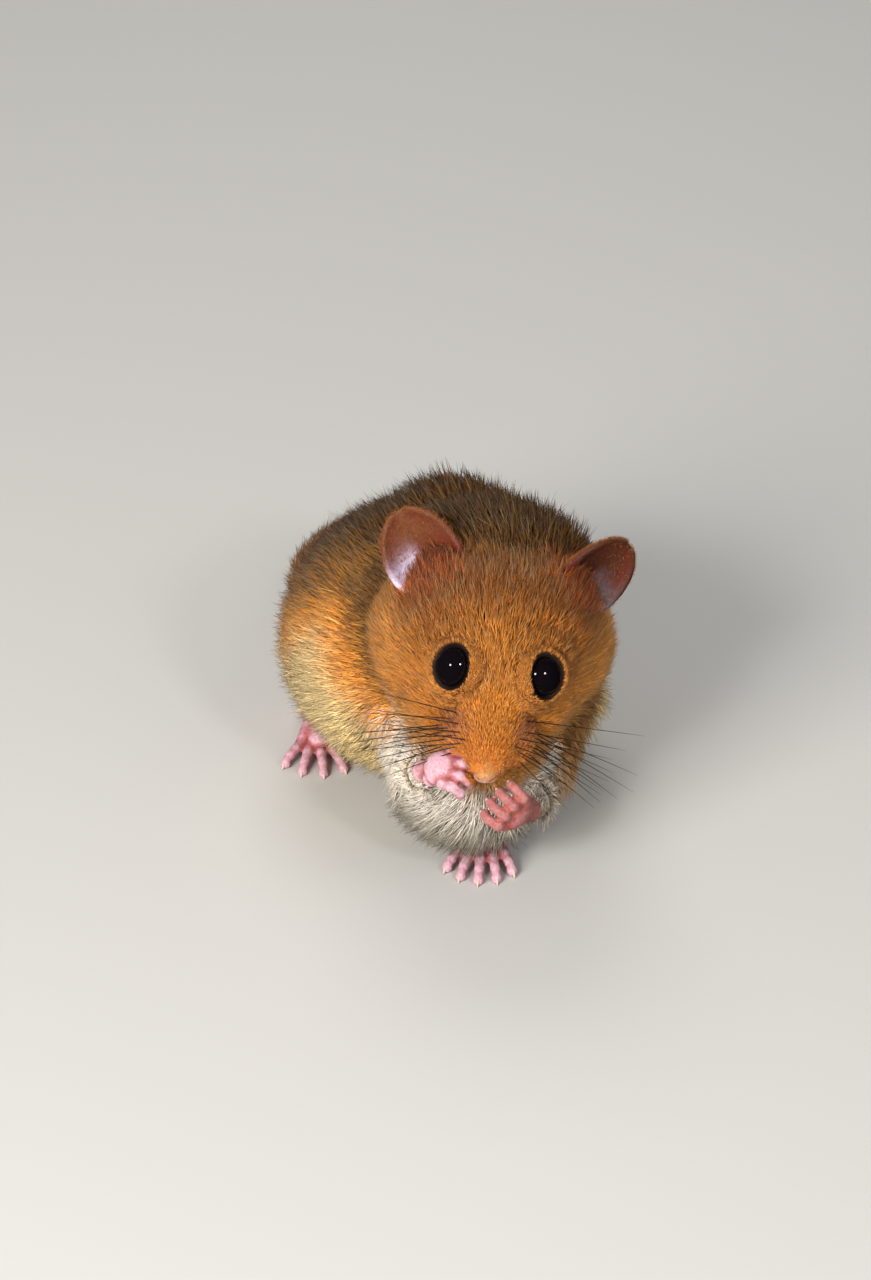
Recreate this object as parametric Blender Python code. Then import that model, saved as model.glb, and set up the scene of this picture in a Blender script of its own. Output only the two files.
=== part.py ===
"""Hazel dormouse crouched and feeding, life size, built as parted flesh solids out to the tips of the coat."""
import math

import bmesh
import bpy
import numpy as np
from mathutils import Euler, Matrix, Vector

for leftover in list(bpy.data.objects):
    bpy.data.objects.remove(leftover)

# Driving dimensions in millimetres, in the frame of the sitting body: animal's left is +X, rump +Y, up +Z.
MM = 0.001
SEAM = 0.30
BODY_CELL = 0.42
BODY_ROUNDS = 6
SMALL_CELL = 0.17
GAP_CELL = 0.24
GROOVE_CELL = 0.12
LIMB_DEPTH = 0.35
FLESH_BUDGET = 16000
SMALL_ROUNDS = 3

HEAD_PLACE = Vector((-1.75, -15.6, 23.1))
HEAD_YAW = -23.0
HEAD_PITCH = 26.0
HEAD_ROLL = 8.5

EYE_RADIUS = 2.35
EYE_CENTRE = Vector((3.55, -4.7, 3.25))
EYE_AIM = Vector((0.40, -0.54, 0.74))
LID_ACROSS = 2.00
LID_TALL = 2.40
LID_THICK = 0.40
LID_BEADS = 28

EAR_LENGTH = 8.5
EAR_WIDTH = 7.1
EAR_THICK = 0.62

FINGERS = 4
TOES = 5


def head_matrix():
    """Placing of the head's own frame (muzzle along -Y) on the neck."""
    turn = Matrix.Rotation(math.radians(HEAD_YAW), 4, "Z")
    nod = Matrix.Rotation(math.radians(HEAD_PITCH), 4, "X")
    roll = Matrix.Rotation(math.radians(HEAD_ROLL), 4, "Y")
    return Matrix.Translation(HEAD_PLACE) @ turn @ nod @ roll


HEAD = head_matrix()
SIDES = {-1: "right", 1: "left"}
HEAD_REGION_CENTRE = (0, -2.6, 0.4)
HEAD_REGION_RADII = (13.0, 13.4, 9.3)
PLANES = [
    ("neck", (0, -9.4, 15.0), (0, -0.946, 0.323), 760, "coat"),
    ("chest", (0, -2.0, 14.0), (0, -1.0, 0.06), 700, "pale coat"),
    ("belly", (0, 7.6, 14.0), (0, -1.0, -0.10), 700, "coat"),
]


def mesh_object(name, mesh):
    """Link a mesh to the scene as an object."""
    made = bpy.data.objects.new(name, mesh)
    bpy.context.scene.collection.objects.link(made)
    return made


def discard(*objects):
    """Remove helper bodies that are no node of their own."""
    for spent in objects:
        bpy.data.objects.remove(spent)


def ball(centre, radii, turn=(0.0, 0.0, 0.0), place=None):
    """Matrix of one ellipsoid, its turn in degrees, in the body's frame or the frame given."""
    spin = Euler([math.radians(a) for a in turn]).to_matrix().to_4x4()
    if isinstance(radii, (int, float)):
        radii = (radii, radii, radii)
    local = Matrix.Translation(Vector(centre)) @ spin @ Matrix.Diagonal((*radii, 1.0))
    return local if place is None else place @ local


def chain(points, radii, place=None, step=0.5):
    """Balls strung closely along a line of points, their radius passing from one given value to the next."""
    strung = []
    for start, end, first, last in zip(points, points[1:], radii, radii[1:]):
        start, end = Vector(start), Vector(end)
        count = max(2, int((end - start).length / (step * min(first, last))))
        for k in range(count + 1):
            t = k / count
            strung.append(ball(start.lerp(end, t), first + (last - first) * t, place=place))
    return strung


def joined(name, balls, detail):
    """One mesh of many overlapping ellipsoids, in metres."""
    form = bmesh.new()
    for matrix in balls:
        bmesh.ops.create_icosphere(form, subdivisions=detail, radius=1.0, matrix=Matrix.Scale(MM, 4) @ matrix)
    mesh = bpy.data.meshes.new(name)
    form.to_mesh(mesh)
    form.free()
    return mesh_object(name, mesh)


def settled(made, *modifier_rows):
    """Evaluate modifiers given as (type, settings) on an object and keep the result as its mesh."""
    for kind, settings in modifier_rows:
        modifier = made.modifiers.new(kind.title(), kind)
        for key, value in settings.items():
            setattr(modifier, key, value)
    graph = bpy.context.evaluated_depsgraph_get()
    mesh = bpy.data.meshes.new_from_object(made.evaluated_get(graph))
    made.modifiers.clear()
    made.data = mesh
    return made


def fused(name, balls, cell, rounds, detail=3):
    """Overlapping ellipsoids melted into one closed smooth body."""
    made = joined(name, balls, detail)
    return settled(made,
                   ("REMESH", {"mode": "VOXEL", "voxel_size": cell * MM}),
                   ("SMOOTH", {"factor": 0.5, "iterations": rounds}),
                   ("TRIANGULATE", {}))


def combined(body, other, operation):
    """Exact boolean of one body with another, the other left in place."""
    return settled(body, ("BOOLEAN", {"operation": operation, "solver": "EXACT", "object": other}))


def copied(body, name):
    """A separate copy of a body."""
    return mesh_object(name, body.data.copy())


def grown(balls, depth):
    """The same ellipsoids with every radius longer by a depth."""
    wider = []
    for matrix in balls:
        radii = [matrix.col[k].to_3d().length for k in range(3)]
        wider.append(matrix @ Matrix.Diagonal([(r + depth) / r for r in radii] + [1.0]))
    return wider


def half_space(name, point, normal):
    """A large block whose one face lies on the plane and which fills the side the normal points to."""
    reach = 120.0
    facing = Vector(normal).normalized().to_track_quat("Z", "Y").to_matrix().to_4x4()
    place = Matrix.Translation(Vector(point)) @ facing @ Matrix.Translation((0, 0, reach / 2))
    form = bmesh.new()
    bmesh.ops.create_cube(form, size=reach, matrix=Matrix.Scale(MM, 4) @ place)
    mesh = bpy.data.meshes.new(name)
    form.to_mesh(mesh)
    form.free()
    return mesh_object(name, mesh)


def cut_away(body, point, normal, gap=0.0):
    """Cut off all of a body that lies beyond a plane, and a strip of the gap's width before it."""
    shifted = Vector(point) - Vector(normal).normalized() * gap
    block = half_space("block", shifted, normal)
    combined(body, block, "DIFFERENCE")
    discard(block)
    return body


def largest_shell(mesh):
    """Keep the largest closed surface of a mesh and drop crumbs."""
    form = bmesh.new()
    form.from_mesh(mesh)
    main = max(shells_of(form), key=len)
    bmesh.ops.delete(form, geom=[v for v in form.verts if v not in main], context="VERTS")
    bmesh.ops.triangulate(form, faces=form.faces)
    form.to_mesh(mesh)
    form.free()


def thinned(body, triangles):
    """Reduce a body to about the given number of triangles."""
    mesh = body.data
    mesh.calc_loop_triangles()
    have = len(mesh.loop_triangles)
    if have > triangles:
        settled(body, ("DECIMATE", {"ratio": triangles / have}), ("TRIANGULATE", {}))
    largest_shell(body.data)
    return body


def disc(name, centre, axis, radius, depth):
    """A flat round plate across an axis."""
    facing = Vector(axis).normalized().to_track_quat("Z", "Y").to_matrix().to_4x4()
    place = Matrix.Scale(MM, 4) @ Matrix.Translation(Vector(centre)) @ facing
    form = bmesh.new()
    bmesh.ops.create_cone(form, cap_ends=True, segments=32, radius1=radius, radius2=radius, depth=depth,
                          matrix=place)
    mesh = bpy.data.meshes.new(name)
    form.to_mesh(mesh)
    form.free()
    return mesh_object(name, mesh)


def shells_of(form):
    """Groups of joined vertices of a bmesh."""
    unseen = set(form.verts)
    shells = []
    while unseen:
        stack = [unseen.pop()]
        shell = set(stack)
        while stack:
            for edge in stack.pop().link_edges:
                for vertex in edge.verts:
                    if vertex in unseen:
                        unseen.discard(vertex)
                        shell.add(vertex)
                        stack.append(vertex)
        shells.append(shell)
    return shells


def split_along(body, line):
    """Separate bodies of a parted mesh, in order along a line."""
    form = bmesh.new()
    form.from_mesh(body.data)
    pieces = []
    for shell in shells_of(form):
        if len(shell) < 20:
            continue
        middle = sum((v.co for v in shell), Vector()) / len(shell) / MM
        place = min(range(len(line)), key=lambda k: (line[k] - middle).length)
        chosen = {v.index for v in shell}
        part = form.copy()
        bmesh.ops.delete(part, geom=[v for v in part.verts if v.index not in chosen], context="VERTS")
        mesh = bpy.data.meshes.new("length")
        part.to_mesh(mesh)
        part.free()
        pieces.append((place, mesh_object("length", mesh)))
    form.free()
    return [piece for place, piece in sorted(pieces, key=lambda entry: entry[0])]


COLOURS = {
    "coat": (0.42, 0.20, 0.055),
    "pale coat": (0.78, 0.62, 0.32),
    "tail coat": (0.45, 0.24, 0.08),
    "ear skin": (0.45, 0.19, 0.12),
    "eye": (0.006, 0.005, 0.006),
    "bare skin": (0.72, 0.36, 0.33),
}
ROUGHNESS = {"eye": 0.05, "bare skin": 0.45, "ear skin": 0.5}


def finished(body, name, surface):
    """Name a body as a node and give it its material."""
    body.name = name
    body.data.name = name
    material = bpy.data.materials.new(name + " surface")
    material.use_nodes = True
    shader = material.node_tree.nodes["Principled BSDF"]
    shader.inputs["Base Color"].default_value = (*COLOURS[surface], 1.0)
    shader.inputs["Roughness"].default_value = ROUGHNESS.get(surface, 0.85)
    body.data.materials.clear()
    body.data.materials.append(material)
    return body


# Head: cranium, fluffed cheeks, muzzle with its whisker pads, chin, in the head's own frame.
def head_balls():
    """All the ellipsoids of the head."""
    balls = [
        ball((0, 3.0, 0.6), (9.8, 10.4, 8.6), place=HEAD),
        ball((0, -1.4, 1.2), (6.9, 6.6, 5.2), place=HEAD),
        ball((0, 7.6, -1.2), (10.4, 7.6, 9.0), place=HEAD),
        ball((0, -6.2, -1.5), (3.9, 4.8, 3.4), place=HEAD),
        ball((0, -3.4, -4.6), (5.0, 6.0, 3.8), place=HEAD),
    ]
    for side in SIDES:
        balls.append(ball((side * 5.7, 2.4, -2.6), (5.8, 6.9, 6.4), place=HEAD))
        balls.append(ball((side * 4.4, -2.4, -3.4), (4.0, 4.8, 4.0), place=HEAD))
        balls.append(ball((side * 2.4, -8.2, -2.7), (2.5, 3.1, 2.4), place=HEAD))
    balls += chain([(0, -6.0, -0.8), (0, -9.4, -1.9), (0, -11.6, -2.4)], [3.9, 3.1, 1.85], place=HEAD)
    balls += chain([(0, -3.0, -6.4), (0, -7.0, -6.2), (0, -8.9, -5.6)], [2.6, 1.9, 1.3], place=HEAD)
    return balls


# Mouth line, the cleft below the nose and the two nostrils, as grooves in the head.
HEAD_GROOVES = [
    ([(-3.6, -5.6, -5.5), (-2.2, -8.9, -5.0), (0, -10.6, -4.7), (2.2, -8.9, -5.0), (3.6, -5.6, -5.5)],
     [0.30, 0.34, 0.34, 0.34, 0.30]),
    ([(0, -13.4, -3.6), (0, -11.6, -4.4), (0, -10.6, -4.9)], [0.22, 0.26, 0.26]),
    ([(-0.6, -13.9, -2.6), (-0.5, -12.6, -2.7)], [0.34, 0.26]),
    ([(0.6, -13.9, -2.6), (0.5, -12.6, -2.7)], [0.34, 0.26]),
]


def eye_frame(side):
    """Frame at an eye's centre with +Z looking out of the socket."""
    aim = Vector((EYE_AIM.x * side, EYE_AIM.y, EYE_AIM.z)).normalized()
    centre = Vector((EYE_CENTRE.x * side, EYE_CENTRE.y, EYE_CENTRE.z))
    return HEAD @ Matrix.Translation(centre) @ aim.to_track_quat("Z", "Y").to_matrix().to_4x4()


def lid_balls(side):
    """Ring of the upper and lower lid about the eye's opening."""
    frame = eye_frame(side)
    reach = EYE_RADIUS + SEAM + LID_THICK / 2
    ring = []
    for k in range(LID_BEADS):
        angle = 2 * math.pi * k / LID_BEADS
        x, y = LID_ACROSS * math.cos(angle), LID_TALL * math.sin(angle)
        height = math.sqrt(reach * reach - x * x - y * y)
        ring.append(ball((x, y, height), LID_THICK, place=frame))
        ring.append(ball((x * 1.2, y * 1.2, height - 0.8), 0.55, place=frame))
    ring.append(ball((0, 0, -1.1), EYE_RADIUS + 1.1, place=frame))
    return ring


# Torso: rump, belly, ribs, shoulders and throat of the crouching body.
def torso_balls():
    """All the ellipsoids of the trunk and neck."""
    return [
        ball((-0.4, 1.4, 13.9), (16.2, 14.8, 14.3)),
        ball((0.4, 8.0, 12.4), (13.4, 12.2, 12.6)),
        ball((1.5, 3.0, 17.0), (10.0, 12.0, 12.2)),
        ball((0.2, -4.0, 17.2), (13.4, 13.0, 12.0)),
        ball((-0.4, -8.6, 14.6), (11.4, 10.4, 10.6)),
        ball((-1.0, -10.0, 20.4), (9.8, 9.0, 9.4)),
        ball((-1.0, -8.4, 23.4), (8.6, 7.0, 6.6)),
        ball((-3.7, -15.0, 9.9), (8.2, 8.0, 8.3)),
        ball((0, 18.6, 5.4), (5.2, 5.0, 5.2)),
    ]


# Limb joints, animal's right (-1) and left (+1).
HIP = {-1: (-7.5, 8.4, 12.5), 1: (7.5, 8.0, 12.0)}
KNEE = {-1: (-10.0, -2.4, 9.8), 1: (10.4, -3.6, 7.4)}
HEEL = {-1: (-10.4, 13.2, 1.9), 1: (0.9, -8.0, 1.8)}
TOE_ROOT = {-1: (-12.1, 6.0, 1.25), 1: (-3.2, -16.6, 1.25)}
SHOULDER = {-1: (-7.8, -9.4, 13.4), 1: (7.2, -9.4, 13.4)}
ELBOW = {-1: (-9.2, -14.4, 9.6), 1: (3.6, -16.6, 8.2)}
WRIST = {-1: (-10.4, -20.0, 13.8), 1: (-0.8, -23.0, 9.0)}
PALM = {-1: (-9.4, -22.0, 15.2), 1: (-3.1, -25.3, 10.6)}


def thigh_balls(side):
    """Haunch from the hip to the knee."""
    hip, knee = Vector(HIP[side]), Vector(KNEE[side])
    return chain([hip, hip.lerp(knee, 0.5), knee], [6.4, 5.9, 4.2])


def arm_balls(side):
    """Upper arm from the shoulder to the elbow."""
    return chain([SHOULDER[side], ELBOW[side]], [4.0, 2.7])


def shank_balls(side):
    """Lower leg from the knee to just above the heel."""
    knee, heel = Vector(KNEE[side]), Vector(HEEL[side])
    return chain([knee, knee.lerp(heel, 0.55), heel + Vector((0, 0, 0.4))], [3.2, 2.4, 1.75])


def forearm_balls(side):
    """Forearm from the elbow to the wrist."""
    return chain([ELBOW[side], WRIST[side]], [2.4, 1.35])


def digit(root, ahead, down, lengths, bends, radii, place):
    """One finger or toe as a bent chain of joints, its claw at the end."""
    points = [Vector(root)]
    heading = Vector(ahead).normalized()
    axis = heading.cross(Vector(down)).normalized()
    for length, bend in zip(lengths, bends):
        heading = Matrix.Rotation(math.radians(bend), 3, axis) @ heading
        points.append(points[-1] + heading * length)
    made = chain(points, radii, place=place)
    for knuckle, radius in zip(points[1:-1], radii[1:-1]):
        made.append(ball(knuckle, radius * 1.12, place=place))
    hook = Matrix.Rotation(math.radians(20), 3, axis) @ heading
    made.append(ball(points[-1] - heading * 0.05 + hook * 0.1, radii[-1] * 1.25, place=place))
    made += chain([points[-1] + hook * 0.25, points[-1] + hook * 0.95], [0.34, 0.25], place=place)
    return made


def frame_of(origin, forward, upward):
    """Frame with -Y along forward and +Z near upward."""
    back = -Vector(forward).normalized()
    side = back.cross(Vector(upward)).normalized()
    top = side.cross(back).normalized()
    turn = Matrix((side, back, top)).transposed().to_4x4()
    return Matrix.Translation(Vector(origin)) @ turn


# Hands at the mouth: palm, pads and four fingers curled as about a morsel.
HAND_FORWARD = {-1: (0.70, -0.62, 0.10), 1: (-0.55, -0.45, 0.62)}
HAND_BACK = {-1: (-0.45, -0.35, 0.80), 1: (0.25, -0.90, -0.20)}


def hand_balls(side):
    """Palm and fingers of one hand."""
    place = frame_of(PALM[side], HAND_FORWARD[side], HAND_BACK[side])
    balls = [ball((0, 0.2, 0), (1.75, 1.6, 1.05), place=place)]
    balls.append(ball((1.0 * side, 0.9, -0.5), 0.8, place=place))
    balls.append(ball((-1.0 * side, 0.7, -0.5), 0.75, place=place))
    balls += chain([Vector(WRIST[side]), Vector(PALM[side])], [1.2, 1.0])
    for k in range(FINGERS):
        across = (k - (FINGERS - 1) / 2) / (FINGERS - 1) * 2
        root = (across * 1.45, -0.8 + 0.25 * across * across, 0.05)
        ahead = (across * 0.28, -1.0, 0.15)
        reach = 1.0 - 0.14 * abs(across)
        balls += digit(root, ahead, (0, 0, -1), [1.3 * reach, 1.15 * reach, 0.95 * reach],
                       [10, 52, 48], [0.60, 0.55, 0.51, 0.48], place)
    return balls


# Hind feet flat on the floor: heel, sole pads and five splayed toes.
FOOT_SPREAD = {-1: 24.0, 1: 17.0}


def foot_balls(side):
    """Sole and toes of one hind foot."""
    heel, root = Vector(HEEL[side]), Vector(TOE_ROOT[side])
    balls = chain([heel, heel.lerp(root, 0.5), root], [1.75, 1.5, 1.35])
    place = frame_of(root, root - heel, (0, 0, 1))
    for k in range(TOES):
        across = (k - (TOES - 1) / 2) / (TOES - 1) * 2
        fan = math.radians(across * FOOT_SPREAD[side] * 1.5)
        start = (across * 1.75, 0.5 * across * across - 0.3, -0.45)
        ahead = (math.sin(fan), -math.cos(fan), 0.12)
        reach = 1.0 - 0.22 * across * across
        balls += chain([(0.6 * across, 2.0, 0), start], [1.2, 0.85], place=place)
        balls += digit(start, ahead, (0, 0, -1), [1.7 * reach, 1.4 * reach, 1.1 * reach],
                       [-4, 14, 16], [0.74, 0.62, 0.56, 0.54], place)
        balls.append(ball((across * 1.5, 0.35, -0.75), 0.62, place=place))
    return balls


# Ears: cupped shells, broad and round, seated in the fur behind the crown.
EAR_SEAT = Vector((6.0, 4.6, 3.9))
EAR_AXIS = {-1: Vector((-0.62, 0.30, 0.72)), 1: Vector((0.80, 0.22, 0.56))}
EAR_FACE = {-1: Vector((-0.10, -0.80, 0.55)), 1: Vector((0.50, -0.72, 0.48))}


def ear_profile(t):
    """Half width of the ear at a share t of its length."""
    crown = math.sqrt(max(0.0, 1.0 - max(0.0, (t - 0.52) / 0.48) ** 2.2))
    foot = 0.52 + 0.48 * math.sin(min(1.0, t / 0.52) * math.pi / 2)
    return EAR_WIDTH / 2 * foot * crown


def ear_point(t, s):
    """A point of the ear's middle surface: t up the ear, s from edge to edge, in the ear's frame."""
    half = ear_profile(t)
    fold = math.radians(78 * (1 - t) ** 1.3 + 26)
    angle = s * fold
    radius = half / max(math.sin(fold), 0.30) * (1.0 if fold < math.pi / 2 else 1.0)
    across = radius * math.sin(angle)
    forward = radius * (1 - math.cos(angle))
    lean = 1.1 * (t ** 2)
    return Vector((across, -forward + lean + 0.9, t * EAR_LENGTH))


def ear_body(side, rows=15, columns=14):
    """Closed cup of one ear."""
    axis = EAR_AXIS[side].normalized()
    face = EAR_FACE[side] - axis * EAR_FACE[side].dot(axis)
    place = HEAD @ frame_of(Vector((EAR_SEAT.x * side, EAR_SEAT.y, EAR_SEAT.z)) - axis * 1.6, face, axis)
    grid = [[ear_point(0.995 * i / rows, -1 + 2 * j / columns) for j in range(columns + 1)]
            for i in range(rows + 1)]
    form = bmesh.new()
    layers = []
    for shift in (-0.5, 0.5):
        layer = []
        for i in range(rows + 1):
            row = []
            for j in range(columns + 1):
                along = grid[min(i + 1, rows)][j] - grid[max(i - 1, 0)][j]
                over = grid[i][min(j + 1, columns)] - grid[i][max(j - 1, 0)]
                normal = along.cross(over).normalized()
                point = grid[i][j] + normal * shift * EAR_THICK * (1.5 - 0.5 * i / rows)
                row.append(form.verts.new(place @ point * MM))
            layer.append(row)
        layers.append(layer)
    inner, outer = layers
    for i in range(rows):
        for j in range(columns):
            form.faces.new((inner[i][j], inner[i][j + 1], inner[i + 1][j + 1], inner[i + 1][j]))
            form.faces.new((outer[i][j], outer[i + 1][j], outer[i + 1][j + 1], outer[i][j + 1]))
    rim = [(i, 0) for i in range(rows, 0, -1)] + [(0, j) for j in range(columns)]
    rim += [(i, columns) for i in range(rows)] + [(rows, j) for j in range(columns, 0, -1)]
    for (i, j), (m, n) in zip(rim, rim[1:] + rim[:1]):
        form.faces.new((inner[i][j], inner[m][n], outer[m][n], outer[i][j]))
    bmesh.ops.recalc_face_normals(form, faces=form.faces)
    bmesh.ops.triangulate(form, faces=form.faces)
    mesh = bpy.data.meshes.new("ear")
    form.to_mesh(mesh)
    form.free()
    return mesh_object("ear", mesh)


# Tail: laid on the floor behind the rump and curled in on itself.
TAIL_LINE = [(0, 16.5, 4.6), (-1.5, 21.5, 3.6), (-3.6, 27.0, 3.1), (-2.8, 33.0, 3.1), (1.6, 37.6, 3.1),
             (8.0, 39.2, 3.05), (14.0, 37.0, 2.9), (17.4, 32.0, 2.75), (16.6, 26.6, 2.5), (13.6, 23.8, 2.2)]
TAIL_RADII = [4.6, 3.6, 3.5, 3.6, 3.6, 3.5, 3.3, 3.0, 2.6, 1.9]
TAIL_CUTS = [2, 4, 6]
TAIL_NAMES = ["tail_base", "tail_middle", "tail_end", "tail_tip"]


def smooth_line(points, parts=6):
    """Points of a line rounded through the given ones."""
    points = [Vector(p) for p in points]
    line = []
    for k in range(len(points) - 1):
        before, start = points[max(k - 1, 0)], points[k]
        end, after = points[k + 1], points[min(k + 2, len(points) - 1)]
        for m in range(parts):
            t = m / parts
            line.append(0.5 * (2 * start + (end - before) * t + (2 * before - 5 * start + 4 * end - after) * t * t
                               + (3 * start - before - 3 * end + after) * t ** 3))
    line.append(points[-1])
    return line


def tail_balls():
    """Balls along the rounded tail line."""
    line = smooth_line(TAIL_LINE)
    radii = np.interp(np.arange(len(line)) / 6, np.arange(len(TAIL_RADII)), TAIL_RADII)
    return chain(line, [float(r) for r in radii], step=0.3)


# Melt the trunk, head, haunches and shoulders into one body and cut it flat at the floor.
flesh = head_balls() + torso_balls()
for side in SIDES:
    flesh += thigh_balls(side) + arm_balls(side) + lid_balls(side)
trunk = fused("trunk", flesh, BODY_CELL, BODY_ROUNDS, detail=4)
thinned(trunk, FLESH_BUDGET)
cut_away(trunk, (0, 0, 0), (0, 0, -1))
nodes = []

# Eyes: round balls in sockets a seam wider.
for side, word in SIDES.items():
    socket = joined("socket", [ball((0, 0, 0), EYE_RADIUS + SEAM, place=eye_frame(side))], 4)
    combined(trunk, socket, "DIFFERENCE")
    discard(socket)
    nodes.append(finished(joined("eye", [ball((0, 0, 0), EYE_RADIUS, place=eye_frame(side))], 3),
                          "eye_" + word, "eye"))

# Feet and hands kept whole, the fur over them hollowed a seam clear of them.
for side, word in SIDES.items():
    for balls_of, stem, budget in ((foot_balls, "foot", 1000), (hand_balls, "hand", 960)):
        limb = fused(stem, balls_of(side), SMALL_CELL, SMALL_ROUNDS)
        if stem == "foot":
            cut_away(limb, (0, 0, 0), (0, 0, -1))
        gap = fused("gap", grown(balls_of(side), SEAM), GAP_CELL, SMALL_ROUNDS)
        combined(trunk, gap, "DIFFERENCE")
        discard(gap)
        nodes.append(finished(thinned(limb, budget), stem + "_" + word, "bare skin"))

# Shanks and forearms seated between the body and the foot or hand.
shell = thinned(fused("shell", grown(flesh, SEAM), BODY_CELL, BODY_ROUNDS, detail=4), FLESH_BUDGET)
for side, word in SIDES.items():
    for balls_of, stem, end in ((shank_balls, "shank", foot_balls), (forearm_balls, "forearm", hand_balls)):
        limb = fused(stem, balls_of(side), BODY_CELL, 2)
        cut_away(limb, (0, 0, 0), (0, 0, -1))
        combined(limb, shell, "DIFFERENCE")
        gap = fused("gap", grown(end(side), SEAM), GAP_CELL, SMALL_ROUNDS)
        combined(limb, gap, "DIFFERENCE")
        discard(gap)
        nodes.append(finished(thinned(limb, 200), stem + "_" + word, "coat"))

# Ears seated on the head.
for side, word in SIDES.items():
    ear = ear_body(side)
    combined(ear, shell, "DIFFERENCE")
    nodes.append(finished(thinned(ear, 640), "ear_" + word, "ear skin"))

# Haunches and upper arms parted from the trunk by a seam that follows each limb.
for side, word in SIDES.items():
    for balls_of, stem, budget in ((thigh_balls, "thigh", 480), (arm_balls, "upper_arm", 280)):
        region = fused("region", grown(balls_of(side), LIMB_DEPTH), BODY_CELL, 2)
        limb = copied(trunk, "limb")
        combined(limb, region, "INTERSECT")
        gap = fused("gap", grown(balls_of(side), LIMB_DEPTH + SEAM), BODY_CELL, 2)
        combined(trunk, gap, "DIFFERENCE")
        discard(region, gap)
        nodes.append(finished(thinned(limb, budget), stem + "_" + word, "coat"))

# Head parted from the neck by a rounded seam behind the cheeks and under the chin.
seam_ball = [ball(HEAD_REGION_CENTRE, HEAD_REGION_RADII, place=HEAD)]
region = joined("region", seam_ball, 5)
head = copied(trunk, "head")
combined(head, region, "INTERSECT")
gap = joined("gap", grown(seam_ball, SEAM), 5)
combined(trunk, gap, "DIFFERENCE")
discard(region, gap)
thinned(head, 3300)
for points, radii in HEAD_GROOVES:
    groove = thinned(fused("groove", chain(points, radii, place=HEAD), GROOVE_CELL, 1, detail=2), 130)
    combined(head, groove, "DIFFERENCE")
    discard(groove)
largest_shell(head.data)
nodes.append(finished(head, "head", "coat"))

# Tail: one length of body, a notch in the rump for its root, parted across into four lengths.
tail = fused("tail", tail_balls(), BODY_CELL, 2)
cut_away(tail, (0, 0, 0), (0, 0, -1))
combined(tail, shell, "DIFFERENCE")
discard(shell)
largest_shell(tail.data)
rounded = smooth_line(TAIL_LINE)
for index in TAIL_CUTS:
    at, ahead = rounded[index * 6], rounded[index * 6 + 1]
    slab = disc("slab", at, ahead - at, TAIL_RADII[index] * 1.5, SEAM)
    combined(tail, slab, "DIFFERENCE")
    discard(slab)
for name, piece in zip(TAIL_NAMES, split_along(tail, rounded)):
    nodes.append(finished(thinned(piece, 260), name, "tail coat"))
discard(tail)

# Trunk parted into neck, chest, belly and rump by plane seams.
for name, point, normal, budget, surface in PLANES:
    front = cut_away(copied(trunk, name), point, -Vector(normal))
    cut_away(trunk, point, normal, SEAM)
    nodes.append(finished(thinned(front, budget), name, surface))
nodes.append(finished(thinned(trunk, 800), "rump", "coat"))

# Stand the whole on the middle of its own floor outline.
corners = np.array([v.co for node in nodes for v in node.data.vertices])
low, high = corners.min(axis=0), corners.max(axis=0)
shift = Vector((-(low[0] + high[0]) / 2, -(low[1] + high[1]) / 2, -low[2]))
for node in nodes:
    node.data.transform(Matrix.Translation(shift))
    node.data.update()
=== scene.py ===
"""Looks of the feeding hazel dormouse, built on its packed flesh solids."""

import math

import bmesh
import bpy
import numpy as np
from mathutils import Matrix, Vector
from mathutils.kdtree import KDTree


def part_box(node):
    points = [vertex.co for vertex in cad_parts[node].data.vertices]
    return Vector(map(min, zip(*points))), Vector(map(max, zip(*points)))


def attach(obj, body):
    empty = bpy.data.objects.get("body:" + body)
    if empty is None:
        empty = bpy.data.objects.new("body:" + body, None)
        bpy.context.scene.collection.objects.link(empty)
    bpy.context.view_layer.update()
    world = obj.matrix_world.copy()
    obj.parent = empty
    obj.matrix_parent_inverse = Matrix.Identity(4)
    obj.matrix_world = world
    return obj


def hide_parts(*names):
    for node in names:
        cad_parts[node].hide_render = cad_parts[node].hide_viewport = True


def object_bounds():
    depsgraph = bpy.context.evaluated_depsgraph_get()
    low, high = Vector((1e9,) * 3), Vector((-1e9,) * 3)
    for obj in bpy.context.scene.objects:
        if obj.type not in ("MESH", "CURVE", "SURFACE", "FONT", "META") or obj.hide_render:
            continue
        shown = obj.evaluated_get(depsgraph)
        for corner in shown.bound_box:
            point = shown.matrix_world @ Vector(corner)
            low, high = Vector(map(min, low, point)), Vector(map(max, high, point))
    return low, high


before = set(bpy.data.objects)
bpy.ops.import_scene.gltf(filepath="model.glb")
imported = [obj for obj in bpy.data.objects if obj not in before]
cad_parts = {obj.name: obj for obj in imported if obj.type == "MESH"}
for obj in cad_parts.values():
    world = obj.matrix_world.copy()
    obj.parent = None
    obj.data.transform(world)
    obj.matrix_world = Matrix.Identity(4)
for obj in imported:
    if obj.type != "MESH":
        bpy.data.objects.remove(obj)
cad_low, cad_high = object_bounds()
scene = bpy.context.scene

# Body under the coat: the soft flesh of trunk, limbs, head and tail, smaller all round than the outer coat.
# The furred solids are closed up into one body, which is drawn in by the depth of the coat that lies there.
# All is in millimetres, the animal's left along +X, rump +Y, up +Z, set out from the middles of its eyes.
MM = 0.001


def middle_of(node):
    """Middle of a solid's box in millimetres."""
    low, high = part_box(node)
    return (low + high) / 2 / MM


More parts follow.
